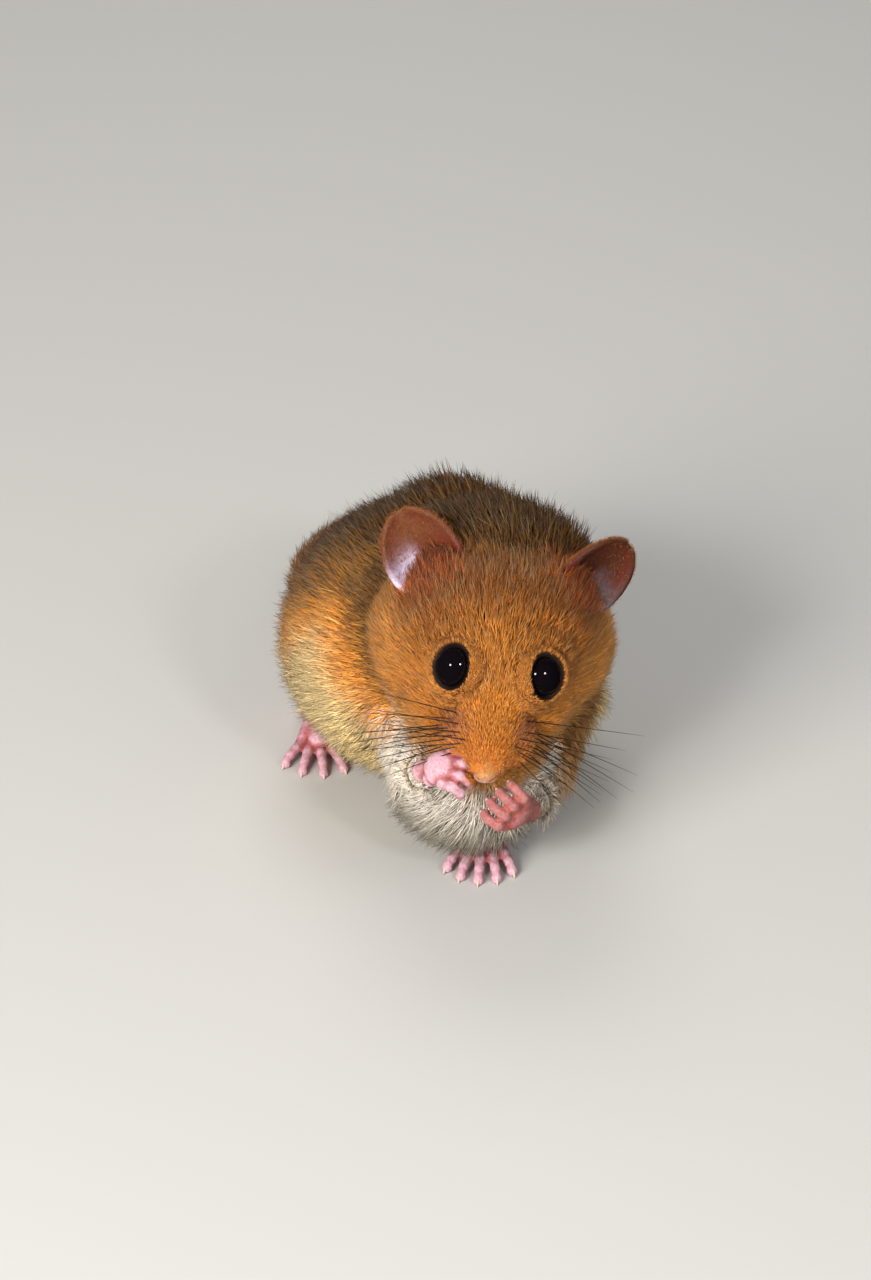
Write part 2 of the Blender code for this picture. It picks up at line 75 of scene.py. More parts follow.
HEAD_TURN = Matrix.Rotation(math.radians(-23.0), 3, "Z") @ Matrix.Rotation(math.radians(26.0), 3, "X") \
    @ Matrix.Rotation(math.radians(8.5), 3, "Y")
EYE_AT = Vector((3.55, -4.7, 3.25))
between_eyes = (middle_of("eye_right") + middle_of("eye_left")) / 2
HEAD_AT = between_eyes - HEAD_TURN @ Vector((0, EYE_AT.y, EYE_AT.z))
BODY_AT = HEAD_AT - Vector((-1.75, -15.6, 23.1))
HEAD = Matrix.Translation(HEAD_AT) @ HEAD_TURN.to_4x4()
HEAD_NP = np.array(HEAD_TURN)
SIDES = {-1: "right", 1: "left"}


def in_head(points):
    """World points in millimetres seen from the head's own frame."""
    return (points - np.array(HEAD_AT)) @ HEAD_NP


def from_head(point):
    """A point of the head's frame in world millimetres."""
    return HEAD @ Vector(point)


def on_body(point):
    """A point of the body's frame in world millimetres."""
    return Vector(point) + BODY_AT


def unit(vectors):
    """Rows scaled to length one."""
    return vectors / np.maximum(np.linalg.norm(vectors, axis=1, keepdims=True), 1e-9)


def away_from(points, spot):
    """Distance of every row from one spot."""
    return np.linalg.norm(points - np.array(spot), axis=1)


def eye_spot(side):
    """Middle of an eye in the head's frame."""
    return (EYE_AT.x * side, EYE_AT.y, EYE_AT.z)


def stem_of(node):
    """Name of a solid without its side."""
    return node.replace("_right", "").replace("_left", "")


def soft_step(low, high, values):
    """Smooth rise from 0 to 1 between two values."""
    t = np.clip((values - low) / (high - low), 0, 1)
    return t * t * (3 - 2 * t)


def rows_out(items, key, width, kind=np.float32):
    """Values of a mesh's items as an array with one row for each."""
    values = np.zeros(len(items) * width, kind)
    items.foreach_get(key, values)
    return values.reshape(-1, width)


def mesh_arrays(mesh):
    """Corner places in millimetres, normals and triangles of a mesh."""
    mesh.calc_loop_triangles()
    co = rows_out(mesh.vertices, "co", 3).astype(float) / MM
    normal = rows_out(mesh.vertices, "normal", 3).astype(float)
    return co, normal, rows_out(mesh.loop_triangles, "vertices", 3, np.int32)


def edges_of(mesh):
    """Pairs of corner numbers of a mesh's edges."""
    return rows_out(mesh.edges, "vertices", 2, np.int32)


def move_corners(mesh, co):
    """Put a mesh's corners to new places in millimetres."""
    mesh.vertices.foreach_set("co", (co * MM).astype(np.float32).ravel())
    mesh.update()


def welded(co, tri):
    """Corners of one place joined, with normals averaged over the faces that meet there."""
    keys = np.round(co * 1000).astype(np.int64)
    _, first, same = np.unique(keys, axis=0, return_index=True, return_inverse=True)
    co, tri = co[first], same.ravel()[tri]
    out = np.cross(co[tri[:, 1]] - co[tri[:, 0]], co[tri[:, 2]] - co[tri[:, 0]])
    normal = np.zeros_like(co)
    for k in range(3):
        np.add.at(normal, tri[:, k], out)
    return co, unit(normal), tri


def mesh_from(name, corners, triangles):
    """A mesh of triangles from arrays in millimetres."""
    mesh = bpy.data.meshes.new(name)
    mesh.vertices.add(len(corners))
    mesh.vertices.foreach_set("co", (corners * MM).astype(np.float32).ravel())
    mesh.loops.add(len(triangles) * 3)
    mesh.loops.foreach_set("vertex_index", triangles.astype(np.int32).ravel())
    mesh.polygons.add(len(triangles))
    mesh.polygons.foreach_set("loop_start", np.arange(0, len(triangles) * 3, 3, dtype=np.int32))
    mesh.polygons.foreach_set("loop_total", np.full(len(triangles), 3, np.int32))
    mesh.update(calc_edges=True)
    return mesh


def placed(name, mesh):
    """Link a mesh as an object riding on the animal."""
    made = bpy.data.objects.new(name, mesh)
    scene.collection.objects.link(made)
    return made


def evaluated(made, *rows):
    """Run modifiers given as (type, settings) on an object and keep the result."""
    for kind, settings in rows:
        modifier = made.modifiers.new(kind.title(), kind)
        for key, value in settings.items():
            setattr(modifier, key, value)
    graph = bpy.context.evaluated_depsgraph_get()
    mesh = bpy.data.meshes.new_from_object(made.evaluated_get(graph))
    made.modifiers.clear()
    made.data = mesh
    return made


def spread(values, edges, rounds):
    """Even out values over a mesh by passing them along its edges."""
    count = len(values)
    degree = np.maximum(np.bincount(edges.ravel(), minlength=count).astype(float), 1)[:, None]
    one, two = edges.T
    columns = values.reshape(count, -1)
    for _ in range(rounds):
        total = [np.bincount(one, c[two], count) + np.bincount(two, c[one], count) for c in columns.T]
        columns = 0.5 * columns + 0.5 * np.column_stack(total) / degree
    return columns.reshape(values.shape)


def tree_of(points):
    """Search tree over rows of points."""
    made = KDTree(len(points))
    for k, at in enumerate(points):
        made.insert(at, k)
    made.balance()
    return made


def nearest_in(made, points):
    """Number of the nearest row and its distance for every point."""
    found = [made.find(at) for at in points]
    return np.array([f[1] for f in found]), np.array([f[2] for f in found])


COAT_DEPTH = {"head": 0.95, "neck": 1.9, "chest": 1.9, "belly": 2.1, "rump": 2.2, "thigh": 1.6,
              "upper_arm": 1.2, "shank": 0.55, "forearm": 0.40,
              "tail_base": 1.6, "tail_middle": 1.6, "tail_end": 1.5, "tail_tip": 1.2}
TAIL_LINE = [(0, 16.5, 4.6), (-1.5, 21.5, 3.6), (-3.6, 27.0, 3.1), (-2.8, 33.0, 3.1), (1.6, 37.6, 3.1),
             (8.0, 39.2, 3.05), (14.0, 37.0, 2.9), (17.4, 32.0, 2.75), (16.6, 26.6, 2.5), (13.6, 23.8, 2.2)]
HEEL = {-1: (-10.4, 13.2, 1.9), 1: (0.9, -8.0, 1.8)}
ELBOW = {-1: (-9.2, -14.4, 9.6), 1: (3.6, -16.6, 8.2)}
KNEE = {-1: (-10.0, -2.4, 9.8), 1: (10.4, -3.6, 7.4)}
SHOULDER = {-1: (-7.8, -9.4, 13.4), 1: (7.2, -9.4, 13.4)}
WRIST = {-1: (-10.4, -20.0, 13.8), 1: (-0.8, -23.0, 9.0)}
CLOSING = 0.30
UNDER_CELL = 0.27
furred = sorted(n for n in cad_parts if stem_of(n) in COAT_DEPTH)
all_co, all_tri, seeds_at, seeds_node = [], [], [], []
offset = 0
for node in furred:
    co, _, tri = mesh_arrays(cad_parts[node].data)
    co, normal, tri = welded(co, tri)
    all_co.append(co + normal * CLOSING)
    all_tri.append(tri + offset)
    offset += len(co)
    seeds_at += [co, co[tri].mean(axis=1)]
    seeds_node += [node] * (len(co) + len(tri))
seeds_at = np.concatenate(seeds_at)
under = placed("under", mesh_from("under", np.concatenate(all_co), np.concatenate(all_tri)))
evaluated(under, ("REMESH", {"mode": "VOXEL", "voxel_size": UNDER_CELL * MM}),
          ("SMOOTH", {"factor": 0.5, "iterations": 4}))
under_co, under_normal, _ = mesh_arrays(under.data)
under_edges = edges_of(under.data)

close, _ = nearest_in(tree_of(seeds_at), under_co)
nearest = [seeds_node[k] for k in close]


TAIL_REACH = 3.0


def tail_flow(points):
    """Direction along the tail's line at the nearest of its points."""
    line = np.array([on_body(p) for p in TAIL_LINE])
    ways = unit(np.gradient(line, axis=0))
    near = ((points[:, None] - line[None]) ** 2).sum(-1)
    weight = np.exp(-near / TAIL_REACH ** 2)
    return unit(weight @ ways)


def limb_way(start, end):
    """Unit direction of a limb bone."""
    return np.array((Vector(end) - Vector(start)).normalized())


# The hair runs back from the nose over the head, along the trunk to the tail, and down every limb.
nose = np.array(from_head((0, -13.4, -2.4)))
BACK_LIE = np.array((0, 0.95, -0.12))
BELLY_LIE = np.array((0, -0.35, -0.45))
THIGH_LIE = np.array([[0.0, 0.55, -0.85]])
ARM_SAG = np.array((0, 0.3, -0.5))
BELLY_TOP = 20
DEPTH_ROUNDS, LIE_ROUNDS, HEAD_ROUNDS, NAPE_ROUNDS = 60, 40, 12, 400
flow = np.zeros_like(under_co)
depth = np.zeros(len(under_co))
names = np.array(nearest)
stems = np.array([stem_of(n) for n in nearest])
for node in furred:
    chosen = names == node
    stem = stem_of(node)
    side = 1 if node.endswith("_left") else -1
    depth[chosen] = COAT_DEPTH[stem]
    here = under_co[chosen]
    if stem == "head":
        flow[chosen] = unit(here - nose)
    elif stem.startswith("tail"):
        flow[chosen] = tail_flow(here)
    elif stem == "shank":
        flow[chosen] = limb_way(KNEE[side], HEEL[side])
    elif stem == "forearm":
        flow[chosen] = limb_way(ELBOW[side], WRIST[side])
    elif stem == "upper_arm":
        flow[chosen] = limb_way(SHOULDER[side], ELBOW[side]) + ARM_SAG
    elif stem == "thigh":
        flow[chosen] = unit(THIGH_LIE)
    else:
        out = (here - np.array(on_body((0, 4, 15)))) * np.array((0.02, 0, 0))
        low_side = np.clip((BELLY_TOP - (here[:, 2] - BODY_AT.z)) / BELLY_TOP, 0, 1)
        flow[chosen] = BACK_LIE + out + low_side[:, None] * BELLY_LIE
depth = spread(depth, under_edges, DEPTH_ROUNDS)
flow = unit(spread(flow, under_edges, LIE_ROUNDS))

# The coat is thinner over the face: next to nothing on the nose and lids, a little on the muzzle, more on the
# cheeks and the crown.
MUZZLE_DEPTH, CHEEK_MORE, CROWN_MORE, LID_PART, NOSE_PART, LEAST_DEPTH = 0.30, 0.65, 0.35, 0.24, 0.35, 0.06
head_co = in_head(under_co)
is_head = spread((stems == "head").astype(float), under_edges, HEAD_ROUNDS)
to_nose = away_from(head_co, (0, -12.6, -2.6))
face = MUZZLE_DEPTH + CHEEK_MORE * soft_step(3.0, 11.0, to_nose) + CROWN_MORE * soft_step(9.0, 17.0, to_nose)
for side in SIDES:
    face *= LID_PART + (1 - LID_PART) * soft_step(2.5, 4.6, away_from(head_co, eye_spot(side)))
face *= NOSE_PART + (1 - NOSE_PART) * soft_step(0.9, 2.6, to_nose)
depth = depth * (1 - is_head) + face * is_head
depth = np.maximum(depth, LEAST_DEPTH)
drawn = under_co - under_normal * (CLOSING + depth)[:, None]

# Loose skin bridges the fold of the nape, so the hollow between head and back is partly filled.
bridged = ((spread(drawn, under_edges, NAPE_ROUNDS) - drawn) * under_normal).sum(1)
_, nape_y, nape_z = (drawn - np.array(BODY_AT)).T
at_nape = soft_step(-14.0, -9.0, nape_y) * (1 - soft_step(1.0, 5.0, nape_y)) * soft_step(19.0, 24.0, nape_z)
drawn += under_normal * (np.maximum(bridged, 0) * at_nape)[:, None]
move_corners(under.data, drawn)


# Hands and feet: bare pink flesh with knuckles, end pads and palm pads, four fingers and five toes to a side.
# They are strung from ellipsoids along the same bones as their solids, and grow out of the furred limbs.
def bead(form, centre, radii, turn=None, detail=2):
    """One ellipsoid of flesh in millimetres added to a form."""
    if isinstance(radii, (int, float)):
        radii = (radii, radii, radii)
    place = Matrix.Translation(Vector(centre)) @ (turn or Matrix.Identity(4)) @ Matrix.Diagonal((*radii, 1.0))
    bmesh.ops.create_icosphere(form, subdivisions=detail, radius=1.0, matrix=Matrix.Scale(MM, 4) @ place)


def cord_of_beads(form, points, radii, step=0.28):
    """Ellipsoids strung closely along points."""
    for start, end, first, last in zip(points, points[1:], radii, radii[1:]):
        start, end = Vector(start), Vector(end)
        count = max(1, int((end - start).length / (step * min(first, last))))
        for k in range(count + 1):
            t = k / count
            bead(form, start.lerp(end, t), first + (last - first) * t)


def frame_of(origin, forward, upward):
    """Frame with -Y along forward and +Z near upward."""
    back = -Vector(forward).normalized()
    side = back.cross(Vector(upward)).normalized()
    top = side.cross(back).normalized()
    return Matrix.Translation(Vector(origin)) @ Matrix((side, back, top)).transposed().to_4x4()


DIGIT_WAISTS = (0.95, 0.93, 0.92)
claw_seats = []


def digit(form, place, root, ahead, lengths, bends, radii, claw):
    """A finger or toe of three joints with knuckles and an end pad; its claw's seat is kept."""
    points = [Vector(root)]
    heading = Vector(ahead).normalized()
    axis = heading.cross(Vector((0, 0, -1))).normalized()
    for length, bend in zip(lengths, bends):
        heading = Matrix.Rotation(math.radians(bend), 3, axis) @ heading
        points.append(points[-1] + heading * length)
    for start, end, first, last, slim in zip(points, points[1:], radii, radii[1:], DIGIT_WAISTS):
        middle = (start + end) / 2
        waist = (first + last) / 2 * slim
        cord_of_beads(form, [place @ start, place @ middle, place @ end], [first, waist, last])
    palm_way = heading.cross(axis).normalized()
    pad = points[-1] + palm_way * -0.16
    bead(form, place @ pad, radii[-1] * 1.18)
    bead(form, place @ (points[-2] + palm_way * -0.20), radii[-2] * 0.95)
    hook = Matrix.Rotation(math.radians(24), 3, axis) @ heading
    turn = place.to_3x3()
    seat = points[-1] + heading * 0.22 + palm_way * 0.14
    claw_seats.append((place @ seat, turn @ hook, turn @ palm_way, claw))


TOE_ROOT = {-1: (-12.1, 6.0, 1.25), 1: (-3.2, -16.6, 1.25)}
PALM = {-1: (-9.4, -22.0, 15.2), 1: (-3.1, -25.3, 10.6)}
HAND_FORWARD = {-1: (0.70, -0.62, 0.10), 1: (-0.55, -0.45, 0.62)}
HAND_BACK = {-1: (-0.45, -0.35, 0.80), 1: (0.25, -0.90, -0.20)}
FOOT_SPREAD = {-1: 24.0, 1: 17.0}
FINGERS, TOES = 4, 5
FINGER_BONES, FINGER_BENDS, FINGER_RADII = (1.3, 1.15, 0.95), (10, 52, 48), (0.62, 0.58, 0.52, 0.46)
TOE_BONES, TOE_BENDS, TOE_RADII = (1.7, 1.4, 1.1), (-4, 14, 16), (0.70, 0.57, 0.51, 0.47)
FINGER_CLAW, TOE_CLAW = 0.85, 1.0
PALM_RADII = (1.75, 1.6, 1.0)
PALM_PADS = ((1.0, 0.9, 0.8), (-1.0, 0.7, 0.75), (0.0, -0.5, 0.6), (0.9, -0.4, 0.55), (-0.9, -0.4, 0.55))
paws = bmesh.new()
for side in SIDES:
    palm, wrist, elbow = on_body(PALM[side]), on_body(WRIST[side]), on_body(ELBOW[side])
    place = frame_of(palm, HAND_FORWARD[side], HAND_BACK[side])
    bead(paws, palm, PALM_RADII, turn=place.to_3x3().to_4x4(), detail=3)
    for across, out, size in PALM_PADS:
        bead(paws, place @ Vector((across * side, out, -0.55)), size)
    cord_of_beads(paws, [elbow.lerp(wrist, 0.55), wrist, palm], [1.05, 1.05, 1.0])
    for k in range(FINGERS):
        across = (k - (FINGERS - 1) / 2) / (FINGERS - 1) * 2
        reach = 1.0 - 0.14 * abs(across)
        knuckle = (across * 1.45, -0.8 + 0.25 * across * across, 0.05)
        digit(paws, place, knuckle, (across * 0.28, -1.0, 0.15),
              [bone * reach for bone in FINGER_BONES], FINGER_BENDS, FINGER_RADII, FINGER_CLAW)
    heel, root = on_body(HEEL[side]), on_body(TOE_ROOT[side])
    knee = on_body(KNEE[side])
    cord_of_beads(paws, [heel, heel.lerp(root, 0.5), root], [1.65, 1.42, 1.3])
    hock = (heel + Vector((0, 0, 0.4))).lerp(knee, 0.3)
    cord_of_beads(paws, [heel + Vector((0, 0, 0.3)), hock], [1.35, 1.5])
    place = frame_of(root, root - heel, (0, 0, 1))
    for k in range(TOES):
        across = (k - (TOES - 1) / 2) / (TOES - 1) * 2
        fan = math.radians(across * FOOT_SPREAD[side] * 1.5)
        start = Vector((across * 1.75, 0.5 * across * across - 0.3, -0.45))
        reach = 1.0 - 0.22 * across * across
        cord_of_beads(paws, [place @ Vector((0.6 * across, 2.0, 0)), place @ start], [1.15, 0.80])
        digit(paws, place, start, (math.sin(fan), -math.cos(fan), 0.12),
              [bone * reach for bone in TOE_BONES], TOE_BENDS, TOE_RADII, TOE_CLAW)
        bead(paws, place @ Vector((across * 1.5, 0.35, -0.75)), 0.60)

# Nose pad and lids: bare skin at the tip of the muzzle and a raised rim round each eye. The pad is a bridge
# with two wings, and each rim is four rings of small ellipsoids, melted into the face with the rest.
head_turn = HEAD.to_3x3().to_4x4()
bead(paws, from_head((0, -12.30, -2.35)), (1.00, 0.85, 0.50), turn=head_turn, detail=3)
for side in SIDES:
    bead(paws, from_head((0.56 * side, -12.72, -2.70)), (0.46, 0.44, 0.40), turn=head_turn, detail=3)
EYE_AIM = Vector((0.40, -0.54, 0.74))
EYE_ACROSS = 2.35
LID_ACROSS, LID_TALL, LID_BEADS = 1.58, 1.96, 56
LID_LEAN = math.radians(19)
LID_RINGS = ((1.0, 0.14, 0.18), (1.12, 0.10, 0.24), (1.25, -0.04, 0.30), (1.38, -0.24, 0.36))


def socket_frame(side):
    """Frame at an eye's centre with +Z looking out between the lids."""
    aim = Vector((EYE_AIM.x * side, EYE_AIM.y, EYE_AIM.z))
    turn = aim.to_track_quat("Z", "Y").to_matrix().to_4x4() @ Matrix.Rotation(LID_LEAN * -side, 4, "Z")
    return HEAD @ Matrix.Translation(eye_spot(side)) @ turn


def poured(name, form):
    """A mesh made from a form, which is then let go."""
    mesh = bpy.data.meshes.new(name)
    form.to_mesh(mesh)
    form.free()
    return mesh


for side in SIDES:
    socket = socket_frame(side)
    for k in range(LID_BEADS):
        angle = 2 * math.pi * k / LID_BEADS
        for wider, over, thick in LID_RINGS:
            x, y = LID_ACROSS * wider * math.cos(angle), LID_TALL * wider * math.sin(angle)
            height = math.sqrt(max(0.0, (EYE_ACROSS + over) ** 2 - x * x - y * y))
            bead(paws, socket @ Vector((x, y, height)), thick)
        bead(paws, socket @ Vector((x * 1.1, y * 1.1, height - 0.5)), 0.58)
paws_mesh = poured("paws", paws)

# Ears: thin skin shells, nearly bare inside, with a rolled edge and two folds in the cup. Each is a closed
# sheet bent to a cup, wide above and narrow at the foot, which is rooted deep in the head.
EAR_LENGTH, EAR_WIDTH = 8.5, 7.1
EAR_SEAT = Vector((6.0, 4.6, 3.9))
EAR_AXIS = {-1: Vector((-0.62, 0.30, 0.72)), 1: Vector((0.80, 0.22, 0.56))}
EAR_FACE = {-1: Vector((-0.10, -0.80, 0.55)), 1: Vector((0.50, -0.72, 0.48))}
EAR_ROWS, EAR_COLUMNS, EAR_ROOT = 46, 40, -0.22


def ear_half_width(t):
    """Half width of the ear at a share t of its length."""
    crown = math.sqrt(max(0.0, 1.0 - max(0.0, (t - 0.52) / 0.48) ** 2.2))
    foot = 0.52 + 0.48 * math.sin(min(1.0, max(t, 0) / 0.52) * math.pi / 2)
    return EAR_WIDTH / 2 * foot * crown


def ear_point(t, s):
    """Middle surface of the ear: t up the ear, s from edge to edge."""
    fold = math.radians(78 * (1 - max(t, 0)) ** 1.3 + 26)
    angle = s * fold
    radius = ear_half_width(t) / max(math.sin(fold), 0.30)
    rim_curl = 0.35 * abs(s) ** 6 * t
    crease = 0.22 * math.exp(-((s - 0.38) / 0.10) ** 2) * math.exp(-((t - 0.30) / 0.22) ** 2)
    second = 0.16 * math.exp(-((s + 0.25) / 0.09) ** 2) * math.exp(-((t - 0.45) / 0.20) ** 2)
    return Vector((radius * math.sin(angle), -radius * (1 - math.cos(angle)) + 1.1 * t * t + 0.9 - rim_curl
                   - crease - second, t * EAR_LENGTH))


def ear_form(form, side):
    """Closed cup of one ear with a rolled edge, rooted deep in the head."""
    axis = EAR_AXIS[side].normalized()
    face_way = EAR_FACE[side] - axis * EAR_FACE[side].dot(axis)
    seat = Vector((EAR_SEAT.x * side, EAR_SEAT.y, EAR_SEAT.z)) - axis * 1.6
    place = HEAD @ frame_of(seat, face_way, axis)
    steps_t = [EAR_ROOT + (0.995 - EAR_ROOT) * i / EAR_ROWS for i in range(EAR_ROWS + 1)]
    grid = [[ear_point(t, -1 + 2 * j / EAR_COLUMNS) for j in range(EAR_COLUMNS + 1)] for t in steps_t]
    layers = []
    for shift in (-0.5, 0.5):
        layer = []
        for i, t in enumerate(steps_t):
            row = []
            for j in range(EAR_COLUMNS + 1):
                along = grid[min(i + 1, EAR_ROWS)][j] - grid[max(i - 1, 0)][j]
                over = grid[i][min(j + 1, EAR_COLUMNS)] - grid[i][max(j - 1, 0)]
                thick = 0.85 - 0.37 * max(t, 0)
                at = grid[i][j] + along.cross(over).normalized() * shift * thick
                row.append(form.verts.new(place @ at * MM))
            layer.append(row)
        layers.append(layer)
    inner, outer = layers
    for i in range(EAR_ROWS):
        for j in range(EAR_COLUMNS):
            form.faces.new((inner[i][j], inner[i][j + 1], inner[i + 1][j + 1], inner[i + 1][j]))
            form.faces.new((outer[i][j], outer[i + 1][j], outer[i + 1][j + 1], outer[i][j + 1]))
    rim = [(i, 0) for i in range(EAR_ROWS, 0, -1)] + [(0, j) for j in range(EAR_COLUMNS)]
    rim += [(i, EAR_COLUMNS) for i in range(EAR_ROWS)] + [(EAR_ROWS, j) for j in range(EAR_COLUMNS, 0, -1)]
    for (i, j), (m, n) in zip(rim, rim[1:] + rim[:1]):
        form.faces.new((inner[i][j], inner[m][n], outer[m][n], outer[i][j]))
    return place


ears = bmesh.new()
ear_place = {side: ear_form(ears, side) for side in SIDES}
bmesh.ops.recalc_face_normals(ears, faces=ears.faces)
bmesh.ops.triangulate(ears, faces=ears.faces)
ears_mesh = poured("ears", ears)

# Skin: one soft hide without seams over body, paws, nose, lids and ears, pink where it is bare. The forms are
# melted together on a fine grid and evened out, then the lines of the face are pressed into it.
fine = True
SKIN_CELL = 0.15 if fine else 0.24
SKIN_TRIANGLES = 170000 if fine else 90000
parts = [mesh_arrays(m) for m in (under.data, paws_mesh, ears_mesh)]
starts = np.cumsum([0] + [len(co) for co, _, _ in parts[:-1]])
skin = placed("skin", mesh_from("skin", np.concatenate([co for co, _, _ in parts]),
                                np.concatenate([tri + start for (_, _, tri), start in zip(parts, starts)])))
evaluated(skin, ("REMESH", {"mode": "VOXEL", "voxel_size": SKIN_CELL * MM}),
          ("SMOOTH", {"factor": 0.5, "iterations": 3}), ("TRIANGULATE", {}))
kept_share = min(1.0, SKIN_TRIANGLES / len(skin.data.polygons))
evaluated(skin, ("DECIMATE", {"ratio": kept_share}), ("TRIANGULATE", {}))
skin_co, skin_normal, skin_tri = mesh_arrays(skin.data)
skin_edges = edges_of(skin.data)
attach(skin, "root")
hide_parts(*[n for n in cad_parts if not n.startswith("eye")])

# Measured over the skin: how deep the coat lies, which way it runs, and which part a point belongs to.
close, gap_body = nearest_in(tree_of(drawn), skin_co)
_, gap_paw = nearest_in(tree_of(mesh_arrays(paws_mesh)[0][::3]), skin_co)
_, gap_ear = nearest_in(tree_of(mesh_arrays(ears_mesh)[0]), skin_co)
eye_gap = np.min([away_from(in_head(skin_co), eye_spot(side)) for side in SIDES], axis=0)
nose_gap = away_from(in_head(skin_co), (0, -12.5, -2.3))
gap_paw = np.where((eye_gap < 4.5) | (nose_gap < 1.9), 9.0, gap_paw)
paw_share = spread(soft_step(-0.10, 0.35, gap_body - gap_paw), skin_edges, 4)
ear_share = spread(soft_step(0.05, 0.50, gap_body - gap_ear), skin_edges, 4)
skin_depth = depth[close] * (1 - paw_share) * (1 - ear_share) * soft_step(0.9, 1.6, nose_gap)
skin_flow = unit(spread(flow[close], skin_edges, 3))
head_share = is_head[close]
tail_share = spread(np.char.startswith(stems[close].astype(str), "tail").astype(float), skin_edges, 20)
limb_share = spread(np.isin(stems[close], ("shank", "forearm", "upper_arm")).astype(float), skin_edges, 12)

# Mouth line, cleft under the nose and nostrils, each with its half width and its depth; they are pressed in
# and painted dark as shade.
FACE_LINES = [
    ([(-3.6, -5.6, -5.5), (-2.2, -8.9, -5.0), (0, -10.6, -4.7), (2.2, -8.9, -5.0), (3.6, -5.6, -5.5)],
     0.24, 0.34),
    ([(0, -13.4, -3.6), (0, -11.6, -4.4), (0, -10.6, -4.9)], 0.17, 0.22),
    ([(-0.46, -13.1, -2.75), (-0.76, -12.9, -2.5), (-1.0, -12.5, -2.4)], 0.17, 0.28),
    ([(0.46, -13.1, -2.75), (0.76, -12.9, -2.5), (1.0, -12.5, -2.4)], 0.17, 0.28),
]
FLOOR_GAP = 0.02
head_at = in_head(skin_co)
head_out = skin_normal @ HEAD_NP
line_shade_share = np.zeros(len(skin_co))
for line, width, sunk in FACE_LINES:
    nearest_line = np.full(len(skin_co), 9.0)
    for start, end in zip(line, line[1:]):
        for k in range(9):
            away = head_at - (np.array(start) + (np.array(end) - np.array(start)) * k / 8)
            rise = (away * head_out).sum(1)
            flat = np.linalg.norm(away - head_out * rise[:, None], axis=1)
            nearest_line = np.minimum(nearest_line, np.where(np.abs(rise) < 1.0, flat, 9.0))
    dent = np.exp(-(nearest_line / width) ** 2)
    line_shade_share = np.maximum(line_shade_share, dent)
    skin_co -= skin_normal * (dent * sunk)[:, None]
skin_co[:, 2] = np.maximum(skin_co[:, 2], FLOOR_GAP)
move_corners(skin.data, skin_co)
skin_co, skin_normal, skin_tri = mesh_arrays(skin.data)
hollow = ((spread(skin_co, skin_edges, 6) - skin_co) * skin_normal).sum(1)
hollow = np.clip(hollow / 0.05, -1, 1)


# Colours of hide and hair: brown ticked back, tan flank, yellow-cream edge, white throat, orange face. The
# back's darker brown is partly painted shade, and the low breast is greyed by painted shade.
def linear(*colour):
    """A colour given in 0..255 display values, in the renderer's linear values."""
    share = np.array(colour) / 255
    return np.where(share <= 0.04045, share / 12.92, ((share + 0.055) / 1.055) ** 2.4)


def mix(first, second, share):
    """Rows blended from the first colour to the second."""
    return first + (second - first) * np.asarray(share)[:, None]


FLANK_TAN, BACK_BROWN_AND_SHADE = linear(168, 116, 54), linear(106, 72, 35)
EDGE_YELLOW, BELLY_CREAM = linear(252, 170, 66), linear(255, 228, 168)
THROAT_WHITE, BREAST_SHADE_GREY = linear(255, 248, 238), linear(164, 155, 136)
FACE_ORANGE, BROW_RUSSET, CROWN_BROWN = linear(222, 142, 54), linear(148, 82, 30), linear(172, 112, 53)
CHEEK_GOLD, JAW_GOLD, CHIN_CREAM = linear(226, 152, 66), linear(222, 158, 76), linear(244, 232, 204)
EAR_FOOT_RED, WHISKER_PAD_PINK = linear(196, 90, 26), linear(208, 128, 88)
SNOUT_ORANGE, NOSE_EDGE_PALE = linear(224, 132, 48), linear(236, 196, 150)
EYE_RING_TAN, SMUDGE_BROWN = linear(172, 112, 58), linear(150, 92, 46)
TAIL_UNDER, TAIL_TOP = linear(196, 142, 84), linear(158, 106, 56)
SHANK_CREAM, ARM_TAN = linear(230, 196, 152), linear(206, 158, 104)

# Height of the cream's upper edge along the flank, from the throat to the rump.
EDGE_Y = [-24, -16, -12.5, -9, -7.5, -6, -3, 0, 3, 7, 12, 18]
EDGE_Z = [17.5, 18.2, 17.8, 16.6, 17.6, 19.6, 22.2, 20.2, 17.6, 14.0, 10.0, 5.5]


